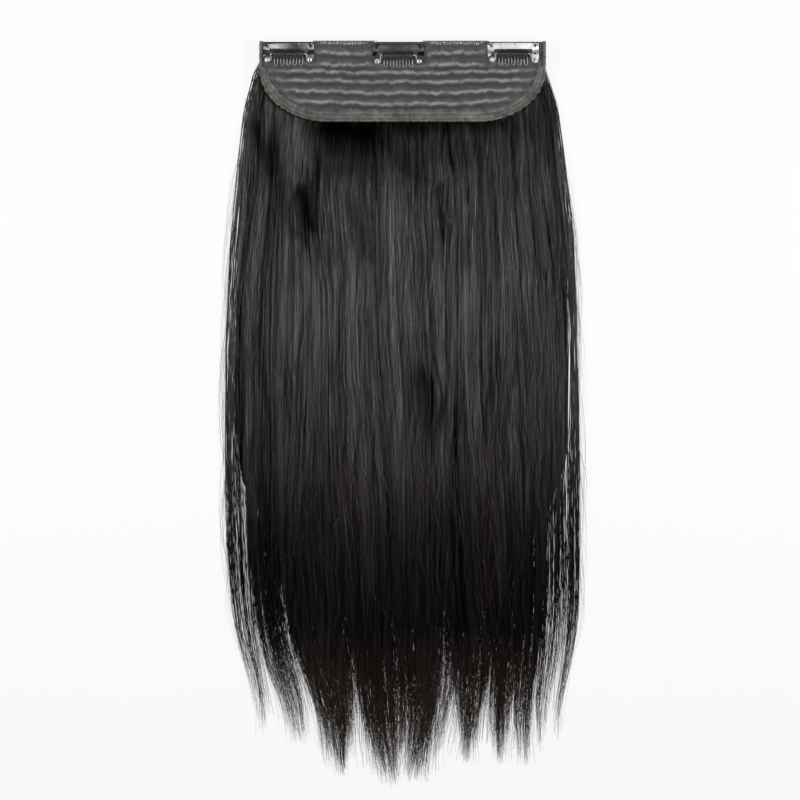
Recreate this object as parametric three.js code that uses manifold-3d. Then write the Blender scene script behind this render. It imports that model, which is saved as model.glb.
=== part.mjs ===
// A clip-in hair extension, lying on a table with its inside up, in millimetres.
// A half-moon of netting, bound with tape, carries rows of wefts on its outer side.
// Long straight hair falls from the wefts, and three snap clips are sewn along the top edge.
// X runs across the piece, Y runs from the hair's tips up to the clip edge, and Z is up off the table.
import * as THREE from "three";
import { mergeVertices } from "three/addons/utils/BufferGeometryUtils.js";
import Module from "manifold-3d";

const wasm = await Module();
wasm.setup();

// Gaps between pieces that touch on the real thing
const gap = 0.3; // between soft pieces, and below the clips
const metalGap = 0.15; // inside a clip

// Hair
const hairLength = 455; // from the base's top edge to the longest tip
const hairHalfWidth = 110; // at the widest place of the fall
const bellyThick = 13; // the fall at its thickest
const rootThick = 6; // hair pressed flat under the base
const tipHalfWidth = 0.7;
const tipThick = 1.2;
const lockOverlap = 1.14; // how far each lock runs into its neighbours
const tipSwing = 1.3; // how late a lock turns to its tip
const tipTaper = 1.4; // how late it narrows
const backingInset = 9; // from the base's outline to the pad that the locks are fused to
const backingThick = 4;

// Net base and its binding
const baseHalfWidth = 88.5;
const baseHeight = 50.4;
const cornerAcross = 42; // the elliptical lower corners
const straightSide = 18.4; // the upper part of each side, beside the clips
const cornerDown = baseHeight - straightSide;
const netThick = 1;
const ribRise = 1.2; // how far the net is lifted over a weft
const ribHalfWidth = 1.9;
const ribSagDepth = 2.4; // the ribs hang lower in the middle
const ribWaveHeight = 0.35;
const ribWaveLength = 46;
const ribWaveTurn = 50.4; // radians from a row at the top edge to one at the bottom
const topEdgeDip = 1.2; // the top edge is drawn in at each clip
const tapeThick = 1;
const tapeWidthAtClips = 2.2; // visible width of the tape beside the clips
const tapeWidthAtSides = 5.8;
const tapeWidthAtBottom = 7.8;
const weftHalfWidth = 0.8;

// Snap clips
const clipHalfWidth = 15.8;
const clipTopMargin = 1.7; // base's top edge to the strip
const rightClipInset = 2; // the right clip is sewn a little further in
const middleClipOffset = -2.6;
const middleClipDrop = 1;
const plateThick = 0.45;
const stripDeep = 3.8;
const stripArch = 1.2;
const sewingHoleRadius = 0.7;
const sewingHoleInset = 2.5; // from the strip's end to its hole
const flexSlit = 0.3; // where the sprung steel bends between the strip and an arm
const armLength = 8.3;
const armWide = 4.1;
const cordRadius = 0.36; // the rubber cord wound round the comb's bar
const cordTurnHalfHeight = 2.1; // half the height of one turn
const gripClearance = 0.5; // between the cord and the strip, which it swings past
const combThick = 0.4;
const barDown = stripDeep + gripClearance + cordRadius + cordTurnHalfHeight; // from the strip's top edge
const barWide = 1;
const combLinkWide = 1; // the upright that joins the bar's end to the ear, beside the arm
const combLinkX = clipHalfWidth - armWide - metalGap - combLinkWide / 2;
const toothCount = 5;
const toothEndSpace = 0.45; // left over at the bar's ends, in pitches
const toothPitch = (2 * combLinkX - combLinkWide) / (toothCount + toothEndSpace);
const toothSpace = 1.37; // between one tooth and the next
const toothWide = toothPitch - toothSpace;
const toothWire = 0.55;
const toothReach = 7.35; // from the bar's middle to a tooth's tip
const toothTipDown = barDown + toothReach;
const rivetX = clipHalfWidth - 2.8;
const rivetDown = stripDeep + flexSlit + armLength - 2;
const rivetBarrel = 0.85;
const rivetBore = 0.5;
const rivetFlange = 1.5;
const flangeThick = 0.3;
const earRadius = 2;

// Levels above the table, each resting on the one before
const tapeUnder = rootThick + gap;
const netUnder = tapeUnder + tapeThick + gap;
const netTop = netUnder + netThick;
const tapeTop = netTop + gap + tapeThick;
const netInset = tapeThick + 2 * gap; // the tape's fold stands outside the net's edge
const clipFloor = netTop + gap;
const cordHalfRise = combThick / 2 + metalGap + cordRadius;
const combMiddle = clipFloor + cordHalfRise + cordRadius;
const armEndUnder = combMiddle + combThick / 2 + metalGap;

// Rows of wefts from the top: down as a share of the base's height, sag of ribSagDepth, rise of ribRise.
// The first two pass under the clips, where the net lies flat.
const weftRows = [
  { down: 0.12, sag: 0.85, rise: 0.45, underClips: true },
  { down: 0.262, sag: 0.85, rise: 0.6, underClips: true },
  { down: 0.355, sag: 0.85, rise: 1, underClips: false },
  { down: 0.466, sag: 0.85, rise: 1, underClips: false },
  { down: 0.578, sag: 1.35, rise: 1, underClips: false },
  { down: 0.688, sag: 1.9, rise: 1, underClips: false },
];

// Outline of the hair under the base: down as a share of the base's height, the rest of baseHalfWidth
const rootRows = [
  { down: 0.06, left: 0.93, right: 0.93 },
  { down: 0.35, left: 1.03, right: 1.0 },
  { down: 1, left: 1.125, right: 1.11 },
];

// Outline of the fall: down as a share of the fall, left and right of hairHalfWidth, thick of bellyThick
const fallRows = [
  { down: 0.035, left: 0.92, right: 0.905, thick: 0.62 },
  { down: 0.1, left: 0.942, right: 0.936, thick: 0.95 },
  { down: 0.2, left: 0.972, right: 0.968, thick: 1 },
  { down: 0.38, left: 0.998, right: 0.99, thick: 0.96 },
  { down: 0.57, left: 0.998, right: 1, thick: 0.84 },
  { down: 0.72, left: 0.972, right: 0.996, thick: 0.66 },
  { down: 0.82, left: 0.905, right: 0.955, thick: 0.5 },
  { down: 0.88, left: 0.835, right: 0.905, thick: 0.4 },
];

// Locks from left to right. rootTo and fallTo are the right edge as shares of the outline's width,
// tipX is a share of hairHalfWidth, tipDown of the fall, thick of the outline's thickness.
const locks = [
  { rootTo: 0.075, fallTo: 0.07, tipX: -0.797, tipDown: 0.912, thick: 0.78 },
  { rootTo: 0.165, fallTo: 0.18, tipX: -0.573, tipDown: 0.938, thick: 0.9 },
  { rootTo: 0.26, fallTo: 0.335, tipX: -0.316, tipDown: 0.984, thick: 1 },
  { rootTo: 0.44, fallTo: 0.49, tipX: -0.022, tipDown: 1, thick: 0.93 },
  { rootTo: 0.615, fallTo: 0.63, tipX: 0.022, tipDown: 0.996, thick: 1 },
  { rootTo: 0.71, fallTo: 0.745, tipX: 0.355, tipDown: 0.966, thick: 0.94 },
  { rootTo: 0.8, fallTo: 0.835, tipX: 0.551, tipDown: 0.966, thick: 0.98 },
  { rootTo: 0.875, fallTo: 0.905, tipX: 0.69, tipDown: 0.974, thick: 0.92 },
  { rootTo: 0.94, fallTo: 0.96, tipX: 0.758, tipDown: 0.947, thick: 0.86 },
  { rootTo: 1, fallTo: 1, tipX: 0.841, tipDown: 0.928, thick: 0.76 },
];

// Section of a lock: flat where it lies and crowned on top, as shares of its half-width and thickness
const lockSection = [
  [-0.88, 0],
  [0.88, 0],
  [1, 0.3],
  [0.9, 0.74],
  [0.48, 1],
  [-0.48, 1],
  [-0.9, 0.74],
  [-1, 0.3],
];
const tipShares = [0.45, 0.82, 1]; // stations between the last shared row and a lock's own tip

const colours = {
  hair: { color: 0x1b1918, roughness: 0.45, metalness: 0 },
  net: { color: 0x4a494b, roughness: 0.9, metalness: 0 },
  tape: { color: 0x6d6661, roughness: 0.9, metalness: 0 },
  weft: { color: 0x2a2827, roughness: 0.9, metalness: 0 },
  darkSteel: { color: 0x17181a, roughness: 0.25, metalness: 0.6 },
  brightSteel: { color: 0xb9babd, roughness: 0.25, metalness: 1 },
  brass: { color: 0xcdb98a, roughness: 0.3, metalness: 1 },
  rubber: { color: 0x121312, roughness: 0.6, metalness: 0 },
};

const mix = (a, b, t) => a + (b - a) * t;
const ease = (t) => {
  const s = Math.min(1, Math.max(0, t));
  return s * s * (3 - 2 * s);
};

// A closed geometry from shared points and triangles, with its faces turned to point out.
function closed(points, triangles) {
  let sixVolumes = 0;
  for (const [a, b, c] of triangles) {
    sixVolumes += points[a].dot(new THREE.Vector3().crossVectors(points[b], points[c]));
  }
  const facing = sixVolumes < 0 ? triangles.map(([a, b, c]) => [a, c, b]) : triangles;
  const geometry = new THREE.BufferGeometry().setFromPoints(points);
  geometry.setIndex(facing.flat());
  return geometry;
}

// Sweeps a counter-clockwise section of 2-D points through stations; place puts one point in space.
function sweep(stations, sectionAt, place) {
  const sections = stations.map(sectionAt);
  const around = sections[0].length;
  const points = sections.flatMap((section, i) => section.map(([a, b]) => place(stations[i], a, b)));
  const triangles = [];
  for (let i = 0; i + 1 < stations.length; i++) {
    for (let j = 0; j < around; j++) {
      const k = (j + 1) % around;
      const [a, b, c, d] = [i * around + j, i * around + k, (i + 1) * around + k, (i + 1) * around + j];
      triangles.push([a, b, c], [a, c, d]);
    }
  }
  const flat = (section) => section.map(([a, b]) => new THREE.Vector2(a, b));
  const last = (stations.length - 1) * around;
  for (const [a, b, c] of THREE.ShapeUtils.triangulateShape(flat(sections[0]), [])) {
    triangles.push([a, c, b]);
  }
  for (const [a, b, c] of THREE.ShapeUtils.triangulateShape(flat(sections.at(-1)), [])) {
    triangles.push([last + a, last + b, last + c]);
  }
  return closed(points, triangles);
}

// A wall with an upper and a lower face over a grid; at gives {x, y, under, thick} for row i, column j.
function sheet(rows, columns, at) {
  const points = [];
  for (let i = 0; i <= rows; i++) {
    for (let j = 0; j <= columns; j++) {
      const { x, y, under, thick } = at(i, j);
      points.push(new THREE.Vector3(x, y, under), new THREE.Vector3(x, y, under + thick));
    }
  }
  const low = (i, j) => 2 * (i * (columns + 1) + j);
  const triangles = [];
  const quad = (a, b, c, d) => triangles.push([a, b, c], [a, c, d]);
  for (let i = 0; i < rows; i++) {
    for (let j = 0; j < columns; j++) {
      const corners = [low(i, j), low(i, j + 1), low(i + 1, j + 1), low(i + 1, j)];
      quad(...corners);
      quad(...corners.map((v) => v + 1).reverse());
    }
    quad(low(i, 0), low(i + 1, 0), low(i + 1, 0) + 1, low(i, 0) + 1);
    quad(low(i + 1, columns), low(i, columns), low(i, columns) + 1, low(i + 1, columns) + 1);
  }
  for (let j = 0; j < columns; j++) {
    quad(low(0, j + 1), low(0, j), low(0, j) + 1, low(0, j + 1) + 1);
    quad(low(rows, j), low(rows, j + 1), low(rows, j + 1) + 1, low(rows, j) + 1);
  }
  return closed(points, triangles);
}

function toSolid(geometry) {
  const bare = geometry.clone();
  bare.deleteAttribute("normal");
  bare.deleteAttribute("uv");
  const merged = mergeVertices(bare, 1e-4);
  return new wasm.Manifold(
    new wasm.Mesh({
      numProp: 3,
      vertProperties: merged.attributes.position.array,
      triVerts: new Uint32Array(merged.index.array),
    }),
  );
}

function toGeometry(solid) {
  const mesh = solid.getMesh();
  const geometry = new THREE.BufferGeometry();
  geometry.setAttribute("position", new THREE.BufferAttribute(mesh.vertProperties, 3));
  geometry.setIndex(new THREE.BufferAttribute(mesh.triVerts, 1));
  return geometry;
}

const joined = (geometries) => toGeometry(geometries.map(toSolid).reduce((a, b) => a.add(b)));

// Drills round holes, each {x, y, radius}, straight down through a plate.
function drilled(geometry, holes, level) {
  const depth = 12;
  const cut = holes.reduce((solid, { x, y, radius }) => {
    const drill = new THREE.CylinderGeometry(radius, radius, depth, 8).rotateX(Math.PI / 2);
    return solid.subtract(toSolid(drill.translate(x, y, level)));
  }, toSolid(geometry));
  return toGeometry(cut);
}

function piece(name, geometry, finish) {
  const mesh = new THREE.Mesh(geometry, new THREE.MeshStandardMaterial(colours[finish]));
  mesh.name = name;
  return mesh;
}

// Half-width of the base's outline, drawn in by inset, at a distance below its top edge
function baseReach(down, inset) {
  const past = Math.max(0, down - straightSide) / (cornerDown - inset);
  const round = Math.sqrt(Math.max(0, 1 - past * past));
  return baseHalfWidth - cornerAcross + (cornerAcross - inset) * round;
}

// The clips, from left to right: down is from the base's top edge to the strip's, plate and rivet
// are finishes. The right clip has lost its black finish.
const outerClipX = baseHalfWidth - tapeWidthAtClips - gap - clipHalfWidth;
const middleClipDown = clipTopMargin + middleClipDrop;
const clips = [
  { name: "clip_left", x: -outerClipX, down: clipTopMargin, plate: "darkSteel", rivet: "brass" },
  { name: "clip_middle", x: middleClipOffset, down: middleClipDown, plate: "darkSteel", rivet: "brass" },
  {
    name: "clip_right",
    x: outerClipX - rightClipInset,
    down: clipTopMargin,
    plate: "brightSteel",
    rivet: "brightSteel",
  },
];

// 1 away from the clips and 0 below them
const clipShadow = clipHalfWidth + 1.5; // half the flat place in the net below a clip
function clearOfClips(x) {
  const fade = 4;
  return Math.min(...clips.map((clip) => ease((Math.abs(x - clip.x) - clipShadow) / fade)));
}

// Visible width of the tape, which widens below the clips and again round the corners
function tapeWide(down) {
  const clipEnd = clipTopMargin + toothTipDown;
  const widened = ease((down - clipEnd) / (straightSide - clipEnd));
  const besideClips = mix(tapeWidthAtClips, tapeWidthAtSides, widened);
  return mix(besideClips, tapeWidthAtBottom, ease((down - straightSide) / cornerDown));
}

// How much of its height a rib has at x: none at the tape, all of it a little further in
function ribLift(x, down, margin) {
  const fade = 14;
  const clear = tapeWide(down) + margin;
  return ease((baseReach(down, clear) - Math.abs(x)) / fade);
}

// How far below the top edge a weft row runs at x
function weftDown(row, x) {
  const hang = 1 - (x / baseHalfWidth) ** 2;
  const wave = Math.sin((2 * Math.PI * x) / ribWaveLength + row.down * ribWaveTurn);
  return row.down * baseHeight + row.sag * ribSagDepth * hang + ribWaveHeight * wave;
}

// Hair: locks fused to a backing pad
const fallLength = hairLength - baseHeight;
const sharedRows = [
  ...rootRows.map((row) => ({
    down: row.down * baseHeight,
    left: row.left * baseHalfWidth,
    right: row.right * baseHalfWidth,
    thick: rootThick,
    rooted: true,
  })),
  ...fallRows.map((row) => ({
    down: baseHeight + row.down * fallLength,
    left: row.left * hairHalfWidth,
    right: row.right * hairHalfWidth,
    thick: row.thick * bellyThick,
    rooted: false,
  })),
];

function lockGeometry(index) {
  const lock = locks[index];
  const before = index ? locks[index - 1] : { rootTo: 0, fallTo: 0 };
  const lastDown = sharedRows.at(-1).down;
  const stations = sharedRows.map((row) => {
    const fallen = row.down / lastDown;
    const width = row.left + row.right;
    const from = mix(before.rootTo, before.fallTo, fallen) * width - row.left;
    const to = mix(lock.rootTo, lock.fallTo, fallen) * width - row.left;
    return {
      down: row.down,
      x: (from + to) / 2,
      half: ((to - from) / 2) * lockOverlap,
      thick: row.rooted ? row.thick : row.thick * lock.thick,
    };
  });
  const end = stations.at(-1);
  const tipDown = baseHeight + lock.tipDown * fallLength;
  for (const share of tipShares) {
    stations.push({
      down: mix(end.down, tipDown, share),
      x: mix(end.x, lock.tipX * hairHalfWidth, share ** tipSwing),
      half: mix(end.half, tipHalfWidth, share ** tipTaper),
      thick: mix(end.thick, tipThick, share),
    });
  }
  return sweep(
    stations,
    () => lockSection,
    (at, a, b) => new THREE.Vector3(at.x + a * at.half, -at.down, b * at.thick),
  );
}

function hairGeometry() {
  const padRows = 6;
  const top = rootRows[0].down * baseHeight;
  const bottom = baseHeight - backingInset;
  const pad = sheet(padRows, 1, (i, j) => {
    const down = mix(top, bottom, i / padRows);
    const reach = baseReach(down, backingInset);
    return { x: mix(-reach, reach, j), y: -down, under: rootThick - backingThick, thick: backingThick };
  });
  return joined([pad, ...locks.map((_, i) => lockGeometry(i))]);
}

// Columns of the net, with one at each end of each clip, as shares of its half-width
function netColumns() {
  const widest = 9;
  const edge = baseHalfWidth - netInset;
  const inner = baseHalfWidth - tapeWidthAtSides - 1;
  const clipEnds = clips.flatMap((clip) => [clip.x - clipShadow, clip.x + clipShadow]);
  const marks = [-inner, ...clipEnds.filter((x) => Math.abs(x) < inner - 1), inner];
  const columns = [-edge];
  for (let i = 0; i + 1 < marks.length; i++) {
    const count = Math.max(1, Math.ceil((marks[i + 1] - marks[i]) / widest));
    for (let k = 0; k < count; k++) {
      columns.push(mix(marks[i], marks[i + 1], k / count));
    }
  }
  columns.push(inner, edge);
  return columns.map((x) => x / edge);
}

// Net: rows at both feet and the crest of each rib
function netGeometry() {
  const columns = netColumns();
  const rows = [{ down: 0, rib: null, rise: 0 }];
  for (const weft of weftRows) {
    rows.push({ rib: weft, side: -1, rise: 0 }, { rib: weft, side: 0, rise: weft.rise });
    rows.push({ rib: weft, side: 1, rise: 0 });
  }
  const lastRib = weftDown(weftRows.at(-1), 0) + ribWaveHeight + ribHalfWidth;
  const lowerRows = [0.4, 0.72, 0.9, 1]; // from the last rib to the net's lower edge
  for (const share of lowerRows) {
    rows.push({ down: mix(lastRib, baseHeight - netInset, share), rib: null, rise: 0 });
  }
  return sheet(rows.length - 1, columns.length - 1, (i, j) => {
    const row = rows[i];
    let x = columns[j] * baseHalfWidth;
    let down = row.down;
    // the width follows from how far down the row runs, and a rib's sag from how far out it is
    for (let pass = 0; pass < 4; pass++) {
      const dip = i === 0 ? topEdgeDip * (1 - clearOfClips(x)) : 0;
      down = row.rib ? weftDown(row.rib, x) + row.side * ribHalfWidth : row.down + dip;
      x = columns[j] * baseReach(down, netInset);
    }
    const flat = row.rib && row.rib.underClips ? clearOfClips(x) : 1;
    const lift = row.rise * ribRise * ribLift(x, down, 1) * flat;
    return { x, y: -down, under: netUnder + lift, thick: netThick };
  });
}

// A weft band lies under its rib, on the hair
const weftTuck = 1; // the wefts end this far inside the tape
const weftFade = 4; // and fall away from the net sooner than its ribs do, by this much

function weftGeometry(weft) {
  const steps = 12;
  const bandEnd = tapeWidthAtBottom + weftTuck;
  const reach = baseReach(weftDown(weft, 0), bandEnd);
  const roof = weft.underClips ? 0 : weft.rise * ribRise * (1 - weftHalfWidth / ribHalfWidth);
  const under = rootThick + gap;
  const stations = Array.from({ length: steps + 1 }, (_, i) => mix(-reach, reach, i / steps));
  return sweep(
    stations,
    (x) => {
      const top = netUnder + roof * ribLift(x, weftDown(weft, x), weftFade) - gap;
      return [
        [-weftHalfWidth, under],
        [weftHalfWidth, under],
        [weftHalfWidth, top],
        [-weftHalfWidth, top],
      ];
    },
    (x, across, level) => new THREE.Vector3(x, -weftDown(weft, x) + across, level),
  );
}

// Binding tape: a folded strip over the net's edge, from one top corner round to the other
function tapeGeometry() {
  const flatHalf = baseHalfWidth - cornerAcross;
  const cornerSteps = 7;
  const sideTop = 0.6;
  const half = [sideTop, 0.42 * straightSide, 0.8 * straightSide].map((down) => ({
    x: -baseHalfWidth,
    down,
    out: [-1, 0],
  }));
  for (let i = 0; i <= cornerSteps; i++) {
    const angle = (Math.PI / 2) * (i / cornerSteps);
    const out = new THREE.Vector2(-Math.cos(angle) / cornerAcross, -Math.sin(angle) / cornerDown);
    out.normalize();
    half.push({
      x: -flatHalf - cornerAcross * Math.cos(angle),
      down: straightSide + cornerDown * Math.sin(angle),
      out: [out.x, out.y],
    });
  }
  for (const share of [0.6, 0.2]) {
    half.push({ x: -flatHalf * share, down: baseHeight, out: [0, -1] });
  }
  const other = half.map((at) => ({ ...at, x: -at.x, out: [-at.out[0], at.out[1]] })).reverse();
  return sweep(
    [...half, ...other],
    (at) => {
      const inner = tapeWide(at.down);
      return [
        [0, tapeUnder],
        [inner, tapeUnder],
        [inner, tapeUnder + tapeThick],
        [tapeThick, tapeUnder + tapeThick],
        [tapeThick, tapeTop - tapeThick],
        [inner, tapeTop - tapeThick],
        [inner, tapeTop],
        [0, tapeTop],
      ];
    },
    (at, inward, level) =>
      new THREE.Vector3(at.x - at.out[0] * inward, -at.down - at.out[1] * inward, level),
  );
}

// Clip pieces are made round the middle of the strip's top edge, and a group puts them on the base

// The strip is sewn down at its two ends, and stands away from the net in its middle
function stripGeometry() {
  const columns = 9;
  const plate = sheet(1, columns, (i, j) => {
    const across = mix(-1, 1, j / columns);
    return {
      x: across * clipHalfWidth,
      y: -stripDeep * i,
      under: clipFloor + stripArch * (1 - across * across),
      thick: plateThick,
    };
  });
  const holeX = clipHalfWidth - sewingHoleInset;
  const holes = [-holeX, holeX].map((x) => ({ x, y: -stripDeep / 2, radius: sewingHoleRadius }));
  return drilled(plate, holes, clipFloor);
}

// An arm rises from the strip's end to lie over the comb's ear. side is -1 for the left arm.
const armRows = [
  { along: 0, outer: 0, inner: 0, rise: 0 },
  { along: 0.22, outer: 0.02, inner: 0, rise: 0.5 },
  { along: 0.44, outer: 0.04, inner: 0, rise: 1 },
  { along: 0.88, outer: 0.16, inner: 0.04, rise: 1 },
  { along: 0.97, outer: 0.3, inner: 0.2, rise: 1 },
  { along: 1, outer: 0.42, inner: 0.34, rise: 1 },
];
const armHoleAlong = 0.3;
function armGeometry(side) {
  const armTop = stripDeep + flexSlit;
  const plate = sheet(armRows.length - 1, 1, (i, j) => {
    const row = armRows[i];
    const inFromEnd = j ? armWide * (1 - row.inner) : armWide * row.outer;
    return {
      x: side * (clipHalfWidth - inFromEnd),
      y: -armTop - row.along * armLength,
      under: mix(clipFloor, armEndUnder, row.rise),
      thick: plateThick,
    };
  });
  const holeX = side * (clipHalfWidth - sewingHoleInset);
  const holes = [
    { x: holeX, y: -armTop - armHoleAlong * armLength, radius: sewingHoleRadius },
    { x: side * rivetX, y: -rivetDown, radius: rivetBarrel + metalGap },
  ];
  return drilled(plate, holes, armEndUnder);
}

// The comb: long looped teeth hang from a bar, with an upright and an ear at each end
function combGeometry() {
  const barTop = -barDown + barWide / 2;
  const barBottom = barTop - barWide;
  const tipMiddle = -toothTipDown + toothWide / 2;
  const linkIn = combLinkX - combLinkWide / 2;
  const linkOut = combLinkX + combLinkWide / 2;
  const earMeetsLink = Math.acos((linkOut - rivetX) / earRadius);
  const toothPlaces = Array.from({ length: toothCount }, (_, i) => (i - (toothCount - 1) / 2) * toothPitch);
  const shape = new THREE.Shape();
  shape.moveTo(-linkIn, barBottom);
  for (const x of toothPlaces) {
    shape.lineTo(x - toothWide / 2, barBottom);
    shape.absarc(x, tipMiddle, toothWide / 2, Math.PI, 2 * Math.PI);
    shape.lineTo(x + toothWide / 2, barBottom);
  }
  shape.lineTo(linkIn, barBottom);
  shape.lineTo(linkIn, -rivetDown);
  shape.absarc(rivetX, -rivetDown, earRadius, Math.PI, 2 * Math.PI + earMeetsLink);
  shape.lineTo(linkOut, barTop);
  shape.lineTo(-linkOut, barTop);
  shape.absarc(-rivetX, -rivetDown, earRadius, Math.PI - earMeetsLink, 2 * Math.PI);
  shape.lineTo(-linkIn, -rivetDown);
  for (const x of toothPlaces) {
    const slot = new THREE.Path();
    const slotHalf = toothWide / 2 - toothWire;
    const slotTop = barBottom - toothWire / 2;
    slot.moveTo(x + slotHalf, slotTop);
    slot.lineTo(x - slotHalf, slotTop);
    slot.absarc(x, tipMiddle, slotHalf, Math.PI, 2 * Math.PI);
    shape.holes.push(slot);
  }
  for (const x of [-rivetX, rivetX]) {
    const boreSides = 8;
    const round = Array.from({ length: boreSides }, (_, i) => {
      const angle = (2 * Math.PI * (i + 0.5)) / boreSides;
      const bore = rivetBarrel + metalGap;
      return new THREE.Vector2(x + bore * Math.cos(angle), -rivetDown + bore * Math.sin(angle));
    });
    shape.holes.push(new THREE.Path(round));
  }
  const options = { depth: combThick, bevelEnabled: false, curveSegments: 3 };
  const comb = new THREE.ExtrudeGeometry(shape, options);
  return comb.translate(0, 0, combMiddle - combThick / 2);
}

// The rubber cord: one flat turn round the bar through each space between the teeth's wires
function gripGeometry() {
  const turnPitch = toothPitch / 2;
  const turns = 2 * toothCount + 1;
  const bend = 0.82; // where a turn leaves the flat of the comb, as a share of its half height
  const route = [
    [-1, 0],
    [-bend, 1],
    [bend, 1],
    [1, 0],
    [bend, -1],
    [-bend, -1],
  ];
  const points = [];
  for (let i = 0; i <= (turns - 1) * route.length; i++) {
    const [up, rise] = route[i % route.length];
    points.push(
      new THREE.Vector3(
        (i / route.length - (turns - 1) / 2) * turnPitch,
        -barDown + up * cordTurnHalfHeight,
        combMiddle + rise * cordHalfRise,
      ),
    );
  }
  const sides = 4;
  const stations = points.map((point, i) => {
    const ahead = points[Math.min(i + 1, points.length - 1)];
    const behind = points[Math.max(i - 1, 0)];
    const along = new THREE.Vector3().subVectors(ahead, behind).normalize();
    const across = new THREE.Vector3(1, 0, 0).addScaledVector(along, -along.x).normalize();
    return { point, across, up: new THREE.Vector3().crossVectors(along, across) };
  });
  const section = Array.from({ length: sides }, (_, i) => {
    const angle = (2 * Math.PI * (i + 0.5)) / sides;
    return [cordRadius * Math.cos(angle), cordRadius * Math.sin(angle)];
  });
  return sweep(
    stations,
    () => section,
    (at, a, b) => at.point.clone().addScaledVector(at.across, a).addScaledVector(at.up, b),
  );
}

// A hollow eyelet holds an arm to the comb's ear
function rivetGeometry(side) {
  const lower = combMiddle - combThick / 2 - metalGap;
  const upper = armEndUnder + plateThick + metalGap;
  const profile = [
    [rivetBore, lower - flangeThick],
    [rivetFlange, lower - flangeThick],
    [rivetFlange, lower],
    [rivetBarrel, lower],
    [rivetBarrel, upper],
    [rivetFlange, upper],
    [rivetFlange - flangeThick, upper + flangeThick],
    [rivetBore, upper + flangeThick],
    [rivetBore, lower - flangeThick],
  ].map(([radius, level]) => new THREE.Vector2(radius, level));
  const eyelet = new THREE.LatheGeometry(profile, 8).rotateX(Math.PI / 2);
  return eyelet.translate(side * rivetX, -rivetDown, 0);
}

const extension = new THREE.Group();
extension.add(piece("hair", hairGeometry(), "hair"));
extension.add(piece("net_base", netGeometry(), "net"));
extension.add(piece("binding_tape", tapeGeometry(), "tape"));
weftRows.forEach((weft, i) => extension.add(piece(`weft_${i + 1}`, weftGeometry(weft), "weft")));
for (const { name, x, down, plate, rivet } of clips) {
  const clip = new THREE.Group();
  clip.position.set(x, -down, 0);
  clip.add(piece(`${name}_strip`, stripGeometry(), plate));
  clip.add(piece(`${name}_comb`, combGeometry(), "darkSteel"));
  clip.add(piece(`${name}_grip`, gripGeometry(), "rubber"));
  for (const [end, side] of [["l", -1], ["r", 1]]) {
    clip.add(piece(`${name}_arm_${end}`, armGeometry(side), plate));
    clip.add(piece(`${name}_rivet_${end}`, rivetGeometry(side), rivet));
  }
  extension.add(clip);
}

// The part's origin is the middle of the space it takes up, at the level of the table
const extent = new THREE.Box3().setFromObject(extension, true);
const middle = extent.getCenter(new THREE.Vector3());
extension.position.set(-middle.x, -middle.y, -extent.min.z);

export default extension;
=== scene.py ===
import math
import bmesh
import bpy
import numpy as np
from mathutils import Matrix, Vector


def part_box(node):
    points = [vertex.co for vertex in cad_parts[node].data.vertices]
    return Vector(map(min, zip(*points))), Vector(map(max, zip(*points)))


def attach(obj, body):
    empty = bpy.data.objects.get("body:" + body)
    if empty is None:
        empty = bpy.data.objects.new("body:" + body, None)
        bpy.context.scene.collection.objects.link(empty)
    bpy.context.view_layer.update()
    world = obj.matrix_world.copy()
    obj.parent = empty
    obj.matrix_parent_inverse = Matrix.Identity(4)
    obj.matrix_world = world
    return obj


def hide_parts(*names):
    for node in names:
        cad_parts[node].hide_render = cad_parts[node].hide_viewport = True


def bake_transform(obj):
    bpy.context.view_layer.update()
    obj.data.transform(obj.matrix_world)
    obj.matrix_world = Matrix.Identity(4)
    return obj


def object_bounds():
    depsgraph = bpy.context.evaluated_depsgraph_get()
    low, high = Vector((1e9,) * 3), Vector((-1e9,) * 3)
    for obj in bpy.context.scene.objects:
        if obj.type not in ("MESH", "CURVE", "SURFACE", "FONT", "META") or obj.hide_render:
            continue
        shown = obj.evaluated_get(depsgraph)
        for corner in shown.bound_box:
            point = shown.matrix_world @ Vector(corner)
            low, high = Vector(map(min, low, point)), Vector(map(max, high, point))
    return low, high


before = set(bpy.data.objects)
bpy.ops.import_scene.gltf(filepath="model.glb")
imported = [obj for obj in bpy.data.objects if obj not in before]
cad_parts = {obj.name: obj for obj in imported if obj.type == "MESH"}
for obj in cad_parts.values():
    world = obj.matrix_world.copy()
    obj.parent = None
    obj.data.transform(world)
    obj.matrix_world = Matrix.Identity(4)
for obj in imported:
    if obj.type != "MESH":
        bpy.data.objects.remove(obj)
cad_low, cad_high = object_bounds()

# Table and light
# The piece lies on a plain white table and is seen from straight above. Two pairs of soft lights hang
# left and right above it, so the hair shines over its upper half and darkens to its tips, both helped
# by a painted sheen on the hair.
scene = bpy.context.scene
scene.view_settings.view_transform = "Standard"
view_height = 2.0
view_width = 0.492
view_middle = (-0.0015, 0.0058)
table_level = -0.0003


def feed(made, inputs):
    """Gives a node its inputs: a value, an output, or a node, whose first output in use is taken."""
    for name, value in inputs.items():
        if isinstance(value, bpy.types.Node):
            value = next(output for output in value.outputs if output.enabled)
        if isinstance(value, bpy.types.NodeSocket):
            made.id_data.links.new(value, made.inputs[name])
        else:
            made.inputs[name].default_value = value


def node(tree, kind, inputs=None, **settings):
    """Adds a shader or geometry node."""
    made = tree.nodes.new(kind)
    for name, value in settings.items():
        setattr(made, name, value)
    feed(made, inputs or {})
    return made


def new_material(name):
    """A material with its node tree and Principled BSDF."""
    material = bpy.data.materials.new(name)
    material.use_nodes = True
    return material, material.node_tree, material.node_tree.nodes["Principled BSDF"]


def add_object(name, data):
    made = bpy.data.objects.new(name, data)
    scene.collection.objects.link(made)
    return made


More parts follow.
